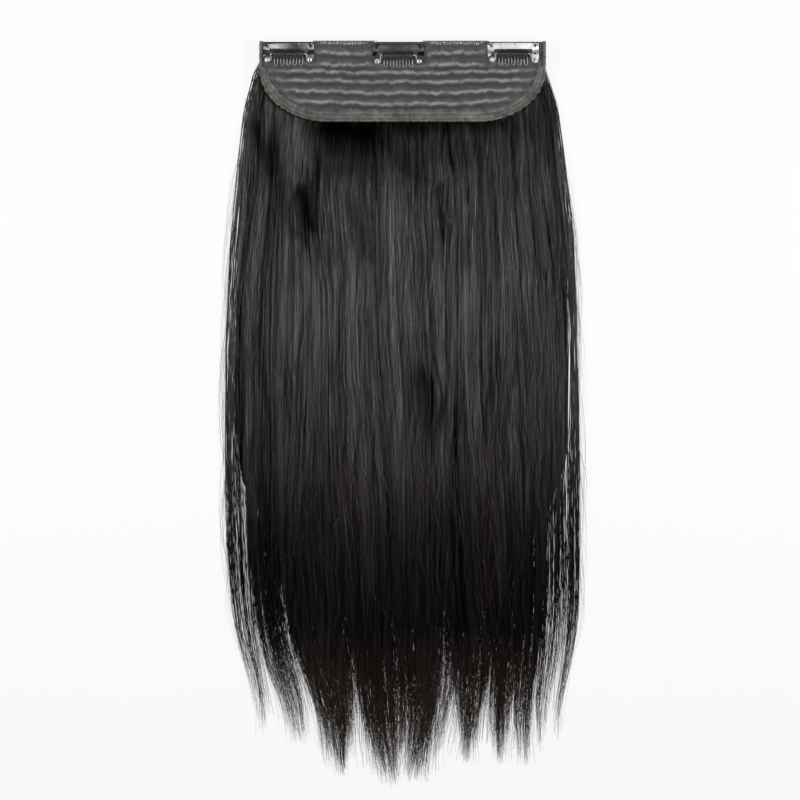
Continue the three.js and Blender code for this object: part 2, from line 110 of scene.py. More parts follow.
camera = add_object("camera", bpy.data.cameras.new("camera"))
camera.location = (*view_middle, view_height)
camera.data.lens = camera.data.sensor_width * (view_height - cad_high.z) / view_width
scene.camera = camera

world = bpy.data.worlds.new("studio")
world.use_nodes = True
feed(world.node_tree.nodes["Background"], {"Color": (0.97, 0.985, 1, 1), "Strength": 0.04})
scene.world = world

# Across, along, height, width, depth and power of each pair: the first shines along the hair,
# the second is higher and further back, and shines on the clips
for across, along, height, wide, deep, power in (
    (0.40, 0.085, 0.50, 0.36, 0.14, 2.4),
    (0.27, 0.36, 0.95, 0.26, 0.22, 1.8),
):
    for side in (-1, 1):
        lamp = bpy.data.lights.new("soft_light", "AREA")
        lamp.shape = "RECTANGLE"
        lamp.size, lamp.size_y = wide, deep
        lamp.energy = power
        light = add_object("soft_light", lamp)
        light.location = (side * across, along, height)
        aim = Vector((0, along, 0)) - light.location
        light.rotation_euler = aim.to_track_quat("-Z", "Y").to_euler()

white_table, tree, shader = new_material("white_table")
feed(shader, {
    "Base Color": (0.1, 0.1, 0.1, 1),
    "Roughness": 0.8,
    "Emission Color": (0.965, 0.98, 0.97, 1),
    "Emission Strength": 0.86,
})
table_mesh = bpy.data.meshes.new("table")
reach = 3.0
corners = [(x * reach, y * reach, table_level) for x, y in ((-1, -1), (1, -1), (1, 1), (-1, 1))]
table_mesh.from_pydata(corners, [], [(0, 1, 2, 3)])
table_mesh.materials.append(white_table)
table = add_object("table", table_mesh)

# Hair
# Real straight hair, near black, sewn in rows under the base. It falls in ten locks that draw
# together to thin see-through points. A dark core inside carries thousands of strands round it.
mm = 0.001
random = np.random.default_rng(41)
base_top = cad_high.y / mm  # the base's top edge, from which down is measured
base_middle = (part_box("net_base")[0].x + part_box("net_base")[1].x) / 2 / mm
base_half_width = (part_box("binding_tape")[1].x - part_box("binding_tape")[0].x) / 2 / mm
base_height = base_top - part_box("binding_tape")[0].y / mm
hair_length = (cad_high.y - cad_low.y) / mm
fall_length = hair_length - base_height
hair_half_width = 110
belly_thick = 13
root_thick = 5.9  # the hair pressed flat under the base
tip_thick = 1.2
corner_across = 42
straight_side = 18.4

# Outline from the top: millimetres down, left and right half-widths, thickness
outline = np.array(
    [(0.06 * base_height, 0.93 * base_half_width, 0.93 * base_half_width, root_thick),
     (0.35 * base_height, 1.03 * base_half_width, base_half_width, root_thick),
     (base_height, 1.125 * base_half_width, 1.11 * base_half_width, root_thick)]
    + [(base_height + down * fall_length, left * hair_half_width, right * hair_half_width, thick * belly_thick)
       for down, left, right, thick in (
           (0.035, 0.92, 0.905, 0.62),
           (0.1, 0.942, 0.936, 0.95),
           (0.2, 0.972, 0.968, 1),
           (0.38, 0.998, 0.99, 0.96),
           (0.57, 0.998, 1, 0.84),
           (0.72, 0.972, 0.996, 0.66),
           (0.82, 0.905, 0.955, 0.5),
           (0.88, 0.835, 0.905, 0.4))]
)
last_down = outline[-1, 0]

# Locks from left to right: right edge at the root and in the fall as shares of the outline's width,
# tip across as a share of hair_half_width, tip down as a share of the fall, fullness of its hair
locks = (
    (0.075, 0.07, -0.797, 0.925, 0.22),
    (0.165, 0.18, -0.573, 0.938, 0.55),
    (0.26, 0.335, -0.316, 0.984, 0.95),
    (0.44, 0.49, -0.022, 1.0, 1.0),
    (0.615, 0.63, 0.022, 0.996, 1.0),
    (0.71, 0.745, 0.355, 0.966, 0.95),
    (0.8, 0.835, 0.551, 0.966, 0.95),
    (0.875, 0.905, 0.69, 0.974, 0.8),
    (0.94, 0.96, 0.758, 0.947, 0.4),
    (1.0, 1.0, 0.841, 0.935, 0.36),
)

# Hollows and partings: across and down of both ends, half-width and depth in millimetres, and the darkness of
# the painted shade laid in them
hollows = (
    (-44, 54, -20, 56, 10.0, 5.0, 1.0),
    (-12, 51, 24, 51, 5.5, 3.0, 0.8),
    (24, 52, 60, 49, 4.5, 2.5, 0.7),
    (-53, 54, -54, 112, 2.2, 2.5, 0.75),
    (-63, 95, -55, 115, 4.2, 4.0, 0.85),
    (23, 90, 25.5, 122, 1.7, 3.5, 0.8),
    (-90, 53, -82, 80, 3.6, 2.5, 0.7),
    (-3, 74, 8, 84, 5.0, 1.5, 0.4),
    (10, 208, 19, 232, 7.0, 1.5, 0.45),
    (-30, 104, -22, 132, 6.0, 1.2, 0.3),
    (-78, 88, -66, 120, 3.0, 1.5, 0.4),
)


def hollowness(x, down):
    """Depth of the hollows at each place."""
    depth = np.zeros_like(x)
    for x0, d0, x1, d1, half, deep, _ in hollows:
        ahead = np.array([x1 - x0, d1 - d0])
        share = np.clip(((x - x0) * ahead[0] + (down - d0) * ahead[1]) / (ahead @ ahead), 0, 1)
        off = np.hypot(x - x0 - share * ahead[0], down - d0 - share * ahead[1])
        depth = np.maximum(depth, deep * np.exp(-((off / half) ** 2)))
    return depth


# Within each lock: clumps a few millimetres wide, which drift together, and lanes of about one
# millimetre, the fine streaks, each a little higher or lower than the next, and lighter or darker in
# colour and in painted sheen
clumps, lanes = [], []
for width_share in np.diff([0, *(lock[1] for lock in locks)]):
    count = max(7, round(width_share * 50))
    spots = (np.arange(count) + 0.5) * 2 / count - 1 + random.normal(0, 0.35, count) / count
    clumps.append((
        spots, random.uniform(0, 0.8, count), random.normal(0, 0.1, count),
        random.normal(0, 1.3, count), random.uniform(0, 6.28, count),
    ))
    count = max(6, round(width_share * 200))
    spots = np.linspace(-1, 1, count) + random.normal(0, 0.6, count) / count
    lanes.append((
        spots, random.uniform(0, 1.0, count), random.normal(0, 0.13, count), random.uniform(0.0, 0.5, count),
    ))

# Painted sheen: how strongly the hair is made to shine at each distance down, from its flat root to its tips
painted_sheen_rows = np.array([
    (50, 0.62), (66, 0.72), (81, 1.18), (96, 0.7), (111, 0.64), (126, 0.77), (155, 0.82), (170, 0.84),
    (185, 0.7), (200, 0.6), (229, 0.61), (258, 0.63), (273, 0.5),
    (288, 0.38), (303, 0.3), (350, 0.3), (460, 0.5),
])


def flow(x, down):
    """The broad lean of the hair at each place, which keeps its streaks from being plumb."""
    at_root = np.exp(-(((down - 84) / 34) ** 2))
    lean = 3.4 * np.sin(x / 19 + 0.6) * at_root
    lean = lean + 1.5 * np.sin(x / 13 + down / 43 + 2) + 1.3 * np.sin(x / 31 - down / 60)
    return lean * ease((down - base_height) / 45)


def smooth_curve(xs, ys, at):
    """A monotone cubic through the points, so that a width never bulges between two rows."""
    xs, ys = np.asarray(xs, float), np.asarray(ys, float)
    step = np.diff(xs)
    slope = np.diff(ys) / step
    tangent = np.zeros_like(ys)
    same = slope[1:] * slope[:-1] > 0
    weight = 3 * (step[1:] + step[:-1])
    with np.errstate(divide="ignore", invalid="ignore"):
        inner = weight / ((2 * step[1:] + step[:-1]) / slope[:-1] + (step[1:] + 2 * step[:-1]) / slope[1:])
    tangent[1:-1] = np.where(same, inner, 0)
    tangent[0], tangent[-1] = slope[0], slope[-1]
    at = np.clip(at, xs[0], xs[-1])
    i = np.clip(np.searchsorted(xs, at) - 1, 0, len(xs) - 2)
    t = (at - xs[i]) / step[i]
    return (
        ys[i] * (1 + 2 * t) * (1 - t) ** 2
        + ys[i + 1] * t * t * (3 - 2 * t)
        + step[i] * (tangent[i] * t * (1 - t) ** 2 - tangent[i + 1] * t * t * (1 - t))
    )


def ease(t):
    t = np.clip(t, 0, 1)
    return t * t * (3 - 2 * t)


def base_reach(down, inset):
    """Half-width of the base's outline, drawn in by inset."""
    corner_down = base_height - straight_side
    past = np.maximum(0, down - straight_side) / (corner_down - inset)
    return base_half_width - corner_across + (corner_across - inset) * np.sqrt(np.maximum(0, 1 - past**2))


def outline_at(down):
    """Left and right half-width and thickness of the outline at each distance down."""
    return [smooth_curve(outline[:, 0], outline[:, column], down) for column in (1, 2, 3)]


def lock_at(index, down, follow=1):
    """Middle, half-width and thickness of a lock at each distance down. A strand that doesn't follow
    the lock's closing hangs on straight."""
    root_to, fall_to, tip_x, tip_down, _ = locks[index]
    root_from, fall_from = locks[index - 1][:2] if index else (0, 0)
    left, right, thick = outline_at(down)
    fallen = np.minimum(down, last_down) / last_down
    start = (root_from + (fall_from - root_from) * fallen) * (left + right) - left
    end = (root_to + (fall_to - root_to) * fallen) * (left + right) - left
    tip = base_height + tip_down * fall_length
    begin = base_height + 0.8 * fall_length  # a lock begins to close here
    share = np.clip((down - begin) / (tip - begin), 0, 1)
    swing, close = follow * share**2.1, follow * share**2.6
    middle = (start + end) / 2 * (1 - swing) + tip_x * hair_half_width * swing
    half = (end - start) / 2 * (1 - close) + 0.9 * close
    past = np.clip((down - last_down) / (tip - last_down), 0, 1)
    return middle, half, thick * (1 - past) + tip_thick * past


def surface(x, down):
    """Height of the hair's top: its row's thickness, rounded off towards both sides."""
    left, right, thick = outline_at(down)
    fade = ease((down - last_down) / (hair_length - last_down))
    thick = thick * (1 - fade) + tip_thick * fade
    return thick * (0.3 + 0.7 * np.sqrt(np.clip(np.minimum(x + left, right - x) / 14, 0, 1)))


def strand_lines(count, points, side, short=False):
    """Strands as lines from root to tip. Side 1 lies on top and 0 on the table, and short ones only
    thicken the tips. Gives the points, and each point's half-width and looks."""
    shares = np.diff([0, *(lock[1] for lock in locks)])
    fullness = shares * [lock[4] for lock in locks]
    which = random.choice(len(locks), count, p=fullness / fullness.sum())
    lines = np.zeros((count, points, 3))
    width, tone, painted_sheen, along = (np.zeros((count, points)) for _ in range(4))
    for k, lock in enumerate(locks):
        chosen = np.flatnonzero(which == k)
        n = len(chosen)
        centre, sunk, shade, drift, turn = clumps[k]
        clump = random.integers(0, len(centre), n)
        across = centre[clump] + random.normal(0, 0.9, n) / len(centre)
        if short:
            across = random.uniform(-1.05, 1.05, n)
        across = np.clip(across, -1.05 if k else -1, 1.05 if k < len(locks) - 1 else 1)
        lane_centre, lane_sunk, lane_shade, lane_gather = lanes[k]
        lane = np.abs(across[:, None] - lane_centre[None, :]).argmin(1)
        within = across - lane_centre[lane]
        follow = random.uniform(0, 0.9, n) if short else random.uniform(0.1, 1, n) ** 0.8
        tip = base_height + lock[3] * fall_length
        spread = 0.29 * random.uniform(0, 1, n) * (1.3 - 0.6 * follow) - 0.015
        ends = tip - spread * fall_length - 17 * across**2
        probe = np.linspace(3, base_height, 40)
        middle, half, _ = lock_at(k, probe)
        if short:
            starts = base_height + random.uniform(0.5, 0.68, n) * fall_length
        elif side:
            off_middle = np.abs(middle[None, :] + across[:, None] * half[None, :])
            inside = base_reach(probe, 11)[None, :] - off_middle
            starts = probe[np.where(inside > 0, np.arange(40)[None, :], 0).max(1)] - random.uniform(0, 5, n)
            starts = np.maximum(starts, 2.6)
        else:
            starts = random.uniform(2.6, 9, n)
        share = np.linspace(0, 1, points)
        share = share if short else share - 0.08 * np.sin(2 * np.pi * share)
        down = starts[:, None] + (ends - starts)[:, None] * share[None, :]
        middle, half, thick = lock_at(k, down, follow[:, None])
        fallen = ease((down - base_height) / 60)
        gather = ease((down - base_height - 0.66 * fall_length) / (0.34 * fall_length))
        pulled = across[:, None] + (centre[clump] - across)[:, None] * 0.15 * gather
        pulled = pulled - 0.7 * (within * lane_gather[lane])[:, None] * gather
        swing = random.normal(0, 0.6, n)[:, None] * np.sin(
            down / random.uniform(16, 40, n)[:, None] + random.uniform(0, 6.28, n)[:, None]
        )
        wander = drift[clump][:, None] * np.sin(down / 55 + turn[clump][:, None]) + swing
        stray = random.normal(0, 1, n) * (random.uniform(0, 1, n) < 0.3)
        x = middle + pulled * half + wander * fallen + 4.5 * stray[:, None] * gather**2
        left, right, _ = outline_at(down)
        x += flow(x, down) * np.clip(np.minimum(x + left, right - x) / 12, 0, 1)
        x = np.where(x < -left, -left - 0.6 * (x + left), np.where(x > right, right - 0.6 * (x - right), x))
        depth = np.abs(random.normal(0, 0.5, n))[:, None]
        hollow = hollowness(x, down)
        roof = surface(x, down)
        if short:
            level = 0.4 + random.uniform(0, 0.8, n)[:, None] * (roof - 0.6)
        elif side:
            top = roof * (1 - 0.1 * across[:, None] ** 2) - 0.3 - depth
            top -= (sunk[clump] + lane_sunk[lane])[:, None] * fallen * np.minimum(1, thick / 8)
            low = 5.2 - 0.6 * depth
            level = low + (top - low) * ease((down - base_foot(x)) / 26) - hollow
        else:
            level = 0.25 + random.uniform(0, 0.5, n)[:, None]
            level = level + random.uniform(0, 5, n)[:, None] * ease((26 - down) / 22)
        lines[chosen] = np.stack([x + base_middle, base_top - down, np.maximum(level, 0.25)], -1)
        fleck = np.clip(0.5 + shade[clump] + lane_shade[lane] + random.normal(0, 0.2, n), 0, 1)[:, None]
        tone[chosen] = fleck
        # A painted sheen, set by the distance down and weaker on darker strands
        painted_sheen[chosen] = np.interp(down, *painted_sheen_rows.T) * np.minimum(1, fleck / 0.4)
        along[chosen] = down / hair_length
        taper = 0.35 + 0.65 * np.clip((1 - share) / (0.9 if short else 0.35), 0, 1) ** 0.8
        width[chosen] = random.uniform(0.1, 0.2, n)[:, None] * taper[None, :] * (0.72 if short else 1)
    above = np.full(along.shape, float(side))
    return lines, width, {"tone": tone, "painted_sheen": painted_sheen, "along": along, "above": above}


def stray_lines(count, points):
    """Single hairs that have left the fall: three in five down its sides, the others across it."""
    share = np.linspace(0, 1, points)[None, :]
    sign = random.choice((-1.0, 1.0), count)[:, None]
    beside = random.uniform(0, 1, (count, 1)) < 0.6
    start = np.where(beside, random.uniform(60, 330, (count, 1)), random.uniform(215, 330, (count, 1)))
    down = start + random.uniform(40, 105, (count, 1)) * share
    left, right, _ = outline_at(down)
    bow = random.uniform(0.5, 5.5, (count, 1))
    bow = bow * np.sin(np.pi * share ** random.uniform(0.7, 2, (count, 1))) - 1.2
    edge = np.where(sign < 0, -left, right) + sign * bow
    middle = random.uniform(-80, 80, (count, 1)) + random.normal(0, 12, (count, 1)) * share
    middle = middle + random.normal(0, 6, (count, 1)) * np.sin(np.pi * share)
    x = np.where(beside, edge, middle)
    level = np.where(beside, random.uniform(0.8, 3, (count, 1)), surface(x, down) + 0.2)
    lines = np.stack([x + base_middle, base_top - down, level], -1)
    width = random.uniform(0.05, 0.11, (count, 1)) * (1 - 0.6 * share)
    # Strays across the fall are light, with a strong painted sheen; those beside it have half of both
    tone = np.where(beside, 0.5, 1) + 0 * down
    along = np.where(beside, down / hair_length, 0.94)
    return lines, width, {"tone": tone, "painted_sheen": tone * 0.9, "along": along, "above": 0 * down}


def base_foot(x):
    """How far down the base's lower edge lies at x, so that the hair rises only past it."""
    flat = base_half_width - corner_across
    beyond = np.clip((np.abs(x) - flat) / corner_across, 0, 1)
    return straight_side + (base_height - straight_side) * np.sqrt(1 - beyond**2)


def strand_tree():
    """Geometry nodes that turn each line of edges into a thin closed strand of its own width."""
    tree = bpy.data.node_groups.new("strands", "GeometryNodeTree")
    tree.interface.new_socket("Lines", in_out="INPUT", socket_type="NodeSocketGeometry")
    sides = tree.interface.new_socket("Sides", in_out="INPUT", socket_type="NodeSocketInt")
    sides.default_value = 3
    finish = tree.interface.new_socket("Material", in_out="INPUT", socket_type="NodeSocketMaterial")
    tree.interface.new_socket("Strands", in_out="OUTPUT", socket_type="NodeSocketGeometry")
    start, end = node(tree, "NodeGroupInput").outputs, node(tree, "NodeGroupOutput")
    curve = node(tree, "GeometryNodeMeshToCurve", {"Mesh": start["Lines"]})
    ring = node(tree, "GeometryNodeCurvePrimitiveCircle", {"Resolution": start["Sides"], "Radius": 1.0})
    width = node(tree, "GeometryNodeInputNamedAttribute", {"Name": "width"}, data_type="FLOAT")
    tube = node(tree, "GeometryNodeCurveToMesh", {
        "Curve": curve, "Profile Curve": ring, "Scale": width, "Fill Caps": True,
    })
    soft = node(tree, "GeometryNodeSetShadeSmooth", {"Geometry": tube})
    painted = node(tree, "GeometryNodeSetMaterial", {"Geometry": soft, "Material": start["Material"]})
    feed(end, {"Strands": node(tree, "GeometryNodeRealizeInstances", {"Geometry": painted})})
    return tree, {"sides": sides.identifier, "material": finish.identifier}


strands, strand_inputs = strand_tree()


def shaped(name, points, edges, faces, material=None, **attributes):
    """An object of points in millimetres, with a value at each point for every attribute."""
    mesh = bpy.data.meshes.new(name)
    mesh.from_pydata((np.reshape(points, (-1, 3)) * mm).tolist(), edges, faces)
    for label, values in attributes.items():
        stored = mesh.attributes.new(label, "FLOAT", "POINT")
        stored.data.foreach_set("value", values.ravel().astype(np.float32))
    if material:
        mesh.materials.append(material)
    mesh.shade_smooth()
    return add_object(name, mesh)


def spun(name, lines, widths, material, sides=3, **attributes):
    """A mesh of closed strands along lines, an array of lines by points by x, y and z."""
    count, points = lines.shape[:2]
    first = (np.arange(count)[:, None] * points + np.arange(points - 1)[None, :]).ravel()
    edges = np.stack([first, first + 1], 1).tolist()
    source = shaped(name + "_lines", lines, edges, [], width=widths * mm, **attributes)
    modifier = source.modifiers.new("strands", "NODES")
    modifier.node_group = strands
    modifier[strand_inputs["sides"]] = sides
    modifier[strand_inputs["material"]] = material
    mesh = bpy.data.meshes.new_from_object(source.evaluated_get(bpy.context.evaluated_depsgraph_get()))
    bpy.data.objects.remove(source)
    mesh.name = name
    return add_object(name, mesh)


def calc(tree, operation, *values, **settings):
    """A maths node."""
    return node(tree, "ShaderNodeMath", dict(enumerate(values)), operation=operation, **settings)


def vector_calc(tree, operation, first, second):
    """A vector maths node. The second value of SCALE is its factor."""
    second_input = "Scale" if operation == "SCALE" else 1
    return node(tree, "ShaderNodeVectorMath", {0: first, second_input: second}, operation=operation)


def remap(tree, value, before, after=(0.0, 1.0), **settings):
    """A map range node, from the range before to the range after."""
    ends = {"From Min": before[0], "From Max": before[1], "To Min": after[0], "To Max": after[1]}
    return node(tree, "ShaderNodeMapRange", {"Value": value, **ends}, **settings)


def ramp(tree, share, *stops):
    """A colour ramp through stops of position and colour, the first and the last ones first."""
    made = node(tree, "ShaderNodeValToRGB", {"Fac": share})
    elements = made.color_ramp.elements
    for k, (position, colour) in enumerate(stops):
        element = elements[k] if k < 2 else elements.new(position)
        element.position = position
        element.color = (*colour, 1)
    return made


def noise(tree, place, scale, detail, **inputs):
    inputs = {"Vector": place, "Scale": scale, "Detail": detail, **inputs}
    return node(tree, "ShaderNodeTexNoise", inputs)


def blended(tree, factor, first, second):
    """A mix of two colours."""
    return node(tree, "ShaderNodeMix", {"Factor": factor, "A": first, "B": second}, data_type="RGBA")


def bumps(tree, height, strength, distance):
    return node(tree, "ShaderNodeBump", {"Height": height, "Strength": strength, "Distance": distance})


def shade_patch():
    """Shader nodes that paint shade over a soft band between two places and keep what is darker already."""
    tree = bpy.data.node_groups.new("shade_patch", "ShaderNodeTree")
    for kind, labels in (("Vector", ("Place", "Start", "Ahead")), ("Float", ("Half", "Darkness", "Before"))):
        for label in labels:
            tree.interface.new_socket(label, in_out="INPUT", socket_type=f"NodeSocket{kind}")
    tree.interface.new_socket("Shade", in_out="OUTPUT", socket_type="NodeSocketFloat")
    start, end = node(tree, "NodeGroupInput").outputs, node(tree, "NodeGroupOutput")
    away = vector_calc(tree, "SUBTRACT", start["Place"], start["Start"])
    along = vector_calc(tree, "DOT_PRODUCT", away, start["Ahead"])
    length = vector_calc(tree, "DOT_PRODUCT", start["Ahead"], start["Ahead"])
    share = calc(tree, "DIVIDE", along, length, use_clamp=True)
    off = vector_calc(tree, "DISTANCE", away, vector_calc(tree, "SCALE", start["Ahead"], share))
    ratio = calc(tree, "DIVIDE", off, start["Half"])
    fade = remap(tree, ratio, (0.0, 2.3), (1.0, 0.0), interpolation_type="SMOOTHSTEP")
    shade = calc(tree, "MULTIPLY", fade, start["Darkness"])
    feed(end, {"Shade": calc(tree, "MAXIMUM", shade, start["Before"])})
    return tree


def hair_material():
    """Near-black hair: fine broken streaks of painted sheen, painted shade in its hollows, brown towards its
    see-through tips.
    """
    material, tree, shader = new_material("dark_hair")
    tone, along, painted_sheen, above = (
        node(tree, "ShaderNodeAttribute", attribute_name=label).outputs["Fac"]
        for label in ("tone", "along", "painted_sheen", "above")
    )
    place = node(tree, "ShaderNodeTexCoord").outputs["Object"]
    bend = noise(tree, place, 22.0, 1.0)
    moved = vector_calc(tree, "ADD", place, vector_calc(tree, "SCALE", bend.outputs["Color"], 0.012))
    drawn = node(tree, "ShaderNodeMapping", {"Vector": moved, "Scale": (700, 26, 26)})
    streak = noise(tree, drawn, 1.0, 2.5)
    # The streaks scale the painted sheen
    painted_sheen_streaks = remap(tree, streak, (0.34, 0.64), (0.4, 1.35))
    fray = 16  # how far the streaks pull the hollows' edges about, half of it each way
    frayed = vector_calc(tree, "SCALE", streak.outputs["Color"], fray * mm)
    flat = vector_calc(tree, "MULTIPLY", vector_calc(tree, "ADD", place, frayed), (1, 1, 0))
    # Painted shade over the hollows, a soft dark band for each
    patch, dark = shade_patch(), 0.0
    for x0, d0, x1, d1, half, _, darkness in hollows:
        dark = node(tree, "ShaderNodeGroup", {
            "Place": flat,
            "Start": ((x0 + base_middle + fray / 2) * mm, (base_top - d0 + fray / 2) * mm, 0),
            "Ahead": ((x1 - x0) * mm, (d0 - d1) * mm, 0),
            "Half": half * mm,
            "Darkness": darkness,
            "Before": dark,
        }, node_tree=patch)
    # The painted shade darkens the top strands' colour and takes away their painted sheen
    lit = calc(tree, "SUBTRACT", 1.0, calc(tree, "MULTIPLY", dark, above), use_clamp=True)
    lit_tone = calc(tree, "MULTIPLY", tone, lit)
    lit_painted_sheen = calc(tree, "MULTIPLY", calc(tree, "MULTIPLY", painted_sheen, painted_sheen_streaks), lit)
    shades = ramp(tree, lit_tone, (0, (0.0006, 0.0006, 0.0006)), (1, (0.0062, 0.0055, 0.005)))
    feed(shader, {
        "Base Color": blended(tree, remap(tree, along, (0.8, 1.0)), shades, (0.088, 0.05, 0.041, 1)),
        "Roughness": remap(tree, lit_tone, (0.0, 1.0), (0.55, 0.24)),
        # Painted sheen: where it is low, the near-black hair is made metallic, which takes its highlight away
        "Metallic": calc(tree, "SUBTRACT", 1.0, lit_painted_sheen, use_clamp=True),  # black metal hardly reflects
        "IOR": 1.65,
        "Specular Tint": (1, 0.96, 0.92, 1),
    })
    return material


dark_hair = hair_material()
hair_pieces = []
for name, count, points, side, short in (
    ("hair_top_a", 2400, 12, 1, False), ("hair_top_b", 2400, 12, 1, False), ("hair_top_c", 2400, 12, 1, False),
    ("hair_under", 1500, 9, 0, False), ("hair_tips", 7000, 5, 1, True),
):
    lines, width, looks = strand_lines(count, points, side, short)
    hair_pieces.append(spun(name, lines, width, dark_hair, **looks))
lines, width, looks = stray_lines(220, 10)
hair_pieces.append(spun("hair_strays", lines, width, dark_hair, **looks))


def core_piece():
    """The hair's packed middle, which no light passes. It ends where the strands begin to thin."""
    rows, columns = 60, 61
    across = np.linspace(-1, 1, columns)[None, :]
    foot_down = 350 - 80 * np.abs(across) ** 3 + 5 * np.sin(17 * across) + 3 * np.sin(41 * across + 1)
    share = np.concatenate([np.linspace(0, 0.14, 14), np.linspace(0.14, 1, rows - 13)[1:]])[:, None]
    down = 4 + (foot_down - 4) * share
    left, right, thick = outline_at(down)
    inset = 3 + 4 * ease((down - 60) / 160) + 8 * ease((down - 230) / 90)
    below_base = base_reach(down, 9) + 60 * ease((down - 15) / 20)
    left, right = (np.minimum(side - inset, below_base) for side in (left, right))
    x = (right - left) / 2 + across * (left + right) / 2
    closing = ease((foot_down - down) / 60)
    foot = base_foot(x)
    roof = 4.2 + 1.2 * ease((foot - down - 3) / 8) + (0.66 * thick - 4.2) * ease((down - foot) / 34)
    roof = 1.2 + (roof - 0.8 * hollowness(x, down) - 1.2) * (1 - np.abs(across) ** 6 * 0.7) * closing
    points = np.stack([x + base_middle, base_top - down, np.maximum(roof, 1.3)], -1)
    # A steady dark tone and a weak painted sheen over the whole core
    looks = {
        "tone": 0.2 + 0 * down, "painted_sheen": 0.4 + 0 * down,
        "along": down / hair_length, "above": 1 + 0 * down,
    }
    return wall("hair_core", points, points * (1, 1, 0) + (0, 0, 0.95), dark_hair, **looks)


def wall(name, top, under, material, **attributes):
    """A closed wall between two grids of points, rows by columns, its top side and its underside."""
    rows, columns = top.shape[:2]
    count = rows * columns
    corner = (np.arange(rows - 1)[:, None] * columns + np.arange(columns - 1)[None, :]).ravel()
    upper = np.stack([corner, corner + columns, corner + columns + 1, corner + 1], 1)
    rim = np.concatenate([
        np.arange(columns),
        np.arange(1, rows) * columns + columns - 1,
        (rows - 1) * columns + np.arange(columns - 2, -1, -1),
        np.arange(rows - 2, 0, -1) * columns,
    ])
    after = np.roll(rim, -1)
    sides = np.stack([rim, after, after + count, rim + count], 1)
    faces = np.concatenate([upper, upper[:, ::-1] + count, sides]).tolist()
    looks = {label: np.tile(values.ravel(), 2) for label, values in attributes.items()}
    return shaped(name, [top, under], [], faces, material, **looks)


hair_pieces.append(core_piece())
for piece in hair_pieces:
    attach(piece, "base")
    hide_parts("hair")

# Rows of weft
# Six bands of machine-sewn hair ends, black thread over black hair, lie under the net and lift it.
# Their plain bands are hidden by the net from above and by the hair from below.
def thread_material(name, colour, pitch):
    """Twisted thread: fine slanting ply lines on a matt colour."""
    material, tree, shader = new_material(name)
    where = node(tree, "ShaderNodeTexCoord").outputs["Object"]
    ply = node(tree, "ShaderNodeTexWave", {"Vector": where, "Scale": 0.32 / (pitch * mm), "Distortion": 1.5},
               bands_direction="DIAGONAL").outputs["Fac"]
    dark, pale = ([share * part for part in colour] for share in (0.45, 1.3))
    feed(shader, {
        "Base Color": ramp(tree, ply, (0, dark), (1, pale)),
        "Roughness": 0.75,
        "Normal": bumps(tree, ply, 0.5, 0.0001),
    })
    return material


weft_thread = thread_material("weft_thread", (0.014, 0.013, 0.013), 0.5)
weft_count = 6
for index in range(weft_count):
    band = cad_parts[f"weft_{index + 1}"]
    band.data.materials.clear()
    band.data.materials.append(weft_thread)

# Net base
# A half moon of fine dark netting, laid over the wefts and stitched down between them, so that each
# row shows as a wavy ridge, paler with a painted highlight and with a painted shadow below it. Between
# the clips its top edge is an open lace selvedge.
net_low, net_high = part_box("net_base")
net_under = net_low.z / mm
net_thick = 0.6
net_top = net_under + 1.0
tape_fold = 1.6  # from the tape's outer edge to the net's
selvedge = 2.5  # height of the lace between the clips
rib_rise = 1.2
rib_half_width = 1.9
rib_sag = 2.4
clip_names = ("clip_left", "clip_middle", "clip_right")
clip_half_width = (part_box("clip_left_strip")[1].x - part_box("clip_left_strip")[0].x) / 2 / mm
clip_middles = [
    (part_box(f"{name}_strip")[0].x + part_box(f"{name}_strip")[1].x) / 2 / mm - base_middle
    for name in clip_names
]
# Share of the base's height, share of the sag, share of the rise, whether the row passes under the clips
weft_rows = (
    (0.12, 0.85, 0.45, True),
    (0.262, 0.85, 0.6, True),
    (0.355, 0.85, 1.0, False),
    (0.466, 0.85, 1.0, False),
    (0.578, 1.35, 1.0, False),
    (0.688, 1.9, 1.0, False),
)


def clear_of_clips(x):
    """1 away from the clips and 0 below them."""
    near = np.min([np.abs(x - middle) for middle in clip_middles], axis=0)
    return ease((near - clip_half_width - 1.5) / 4)


def rib_line(row, x):
    """How far down a weft row runs at x, with the small waves that its stitches draw into it."""
    down, sag, _, _ = row
    hang = 1 - (x / base_half_width) ** 2
    slow = 0.35 * np.sin(2 * np.pi * x / 46 + down * 50.4)
    quick = 0.32 * np.sin(2 * np.pi * x / 13.5 + 9 * down) + 0.2 * np.sin(2 * np.pi * x / 6.1 + 31 * down)
    return down * base_height + sag * rib_sag * hang + slow + quick


def weave_group():
    """Threads of a net or cloth as a mask, from a pattern's place."""
    tree = bpy.data.node_groups.new("open_weave", "ShaderNodeTree")
    tree.interface.new_socket("Place", in_out="INPUT", socket_type="NodeSocketVector")
    for label, value in (("Pitch", 0.0009), ("Thread", 0.3), ("Unevenness", 0.25)):
        tree.interface.new_socket(label, in_out="INPUT", socket_type="NodeSocketFloat").default_value = value
    tree.interface.new_socket("Threads", in_out="OUTPUT", socket_type="NodeSocketFloat")
    start, end = node(tree, "NodeGroupInput").outputs, node(tree, "NodeGroupOutput")
    pull = noise(tree, start["Place"], 260.0, 3.0).outputs["Color"]
    slack = calc(tree, "MULTIPLY", start["Unevenness"], start["Pitch"])
    moved = vector_calc(tree, "ADD", start["Place"], vector_calc(tree, "SCALE", pull, slack))
    pitch = node(tree, "ShaderNodeCombineXYZ", {"X": start["Pitch"], "Y": start["Pitch"], "Z": 1.0})
    bricks = node(tree, "ShaderNodeTexBrick", {
        "Vector": vector_calc(tree, "DIVIDE", moved, pitch),
        "Scale": 1.0,
        "Mortar Smooth": 0.6,
        "Brick Width": 0.85,
        "Row Height": 1.0,
        "Mortar Size": start["Thread"],
    })
    feed(end, {"Threads": bricks.outputs["Fac"]})
    return tree


open_weave = weave_group()


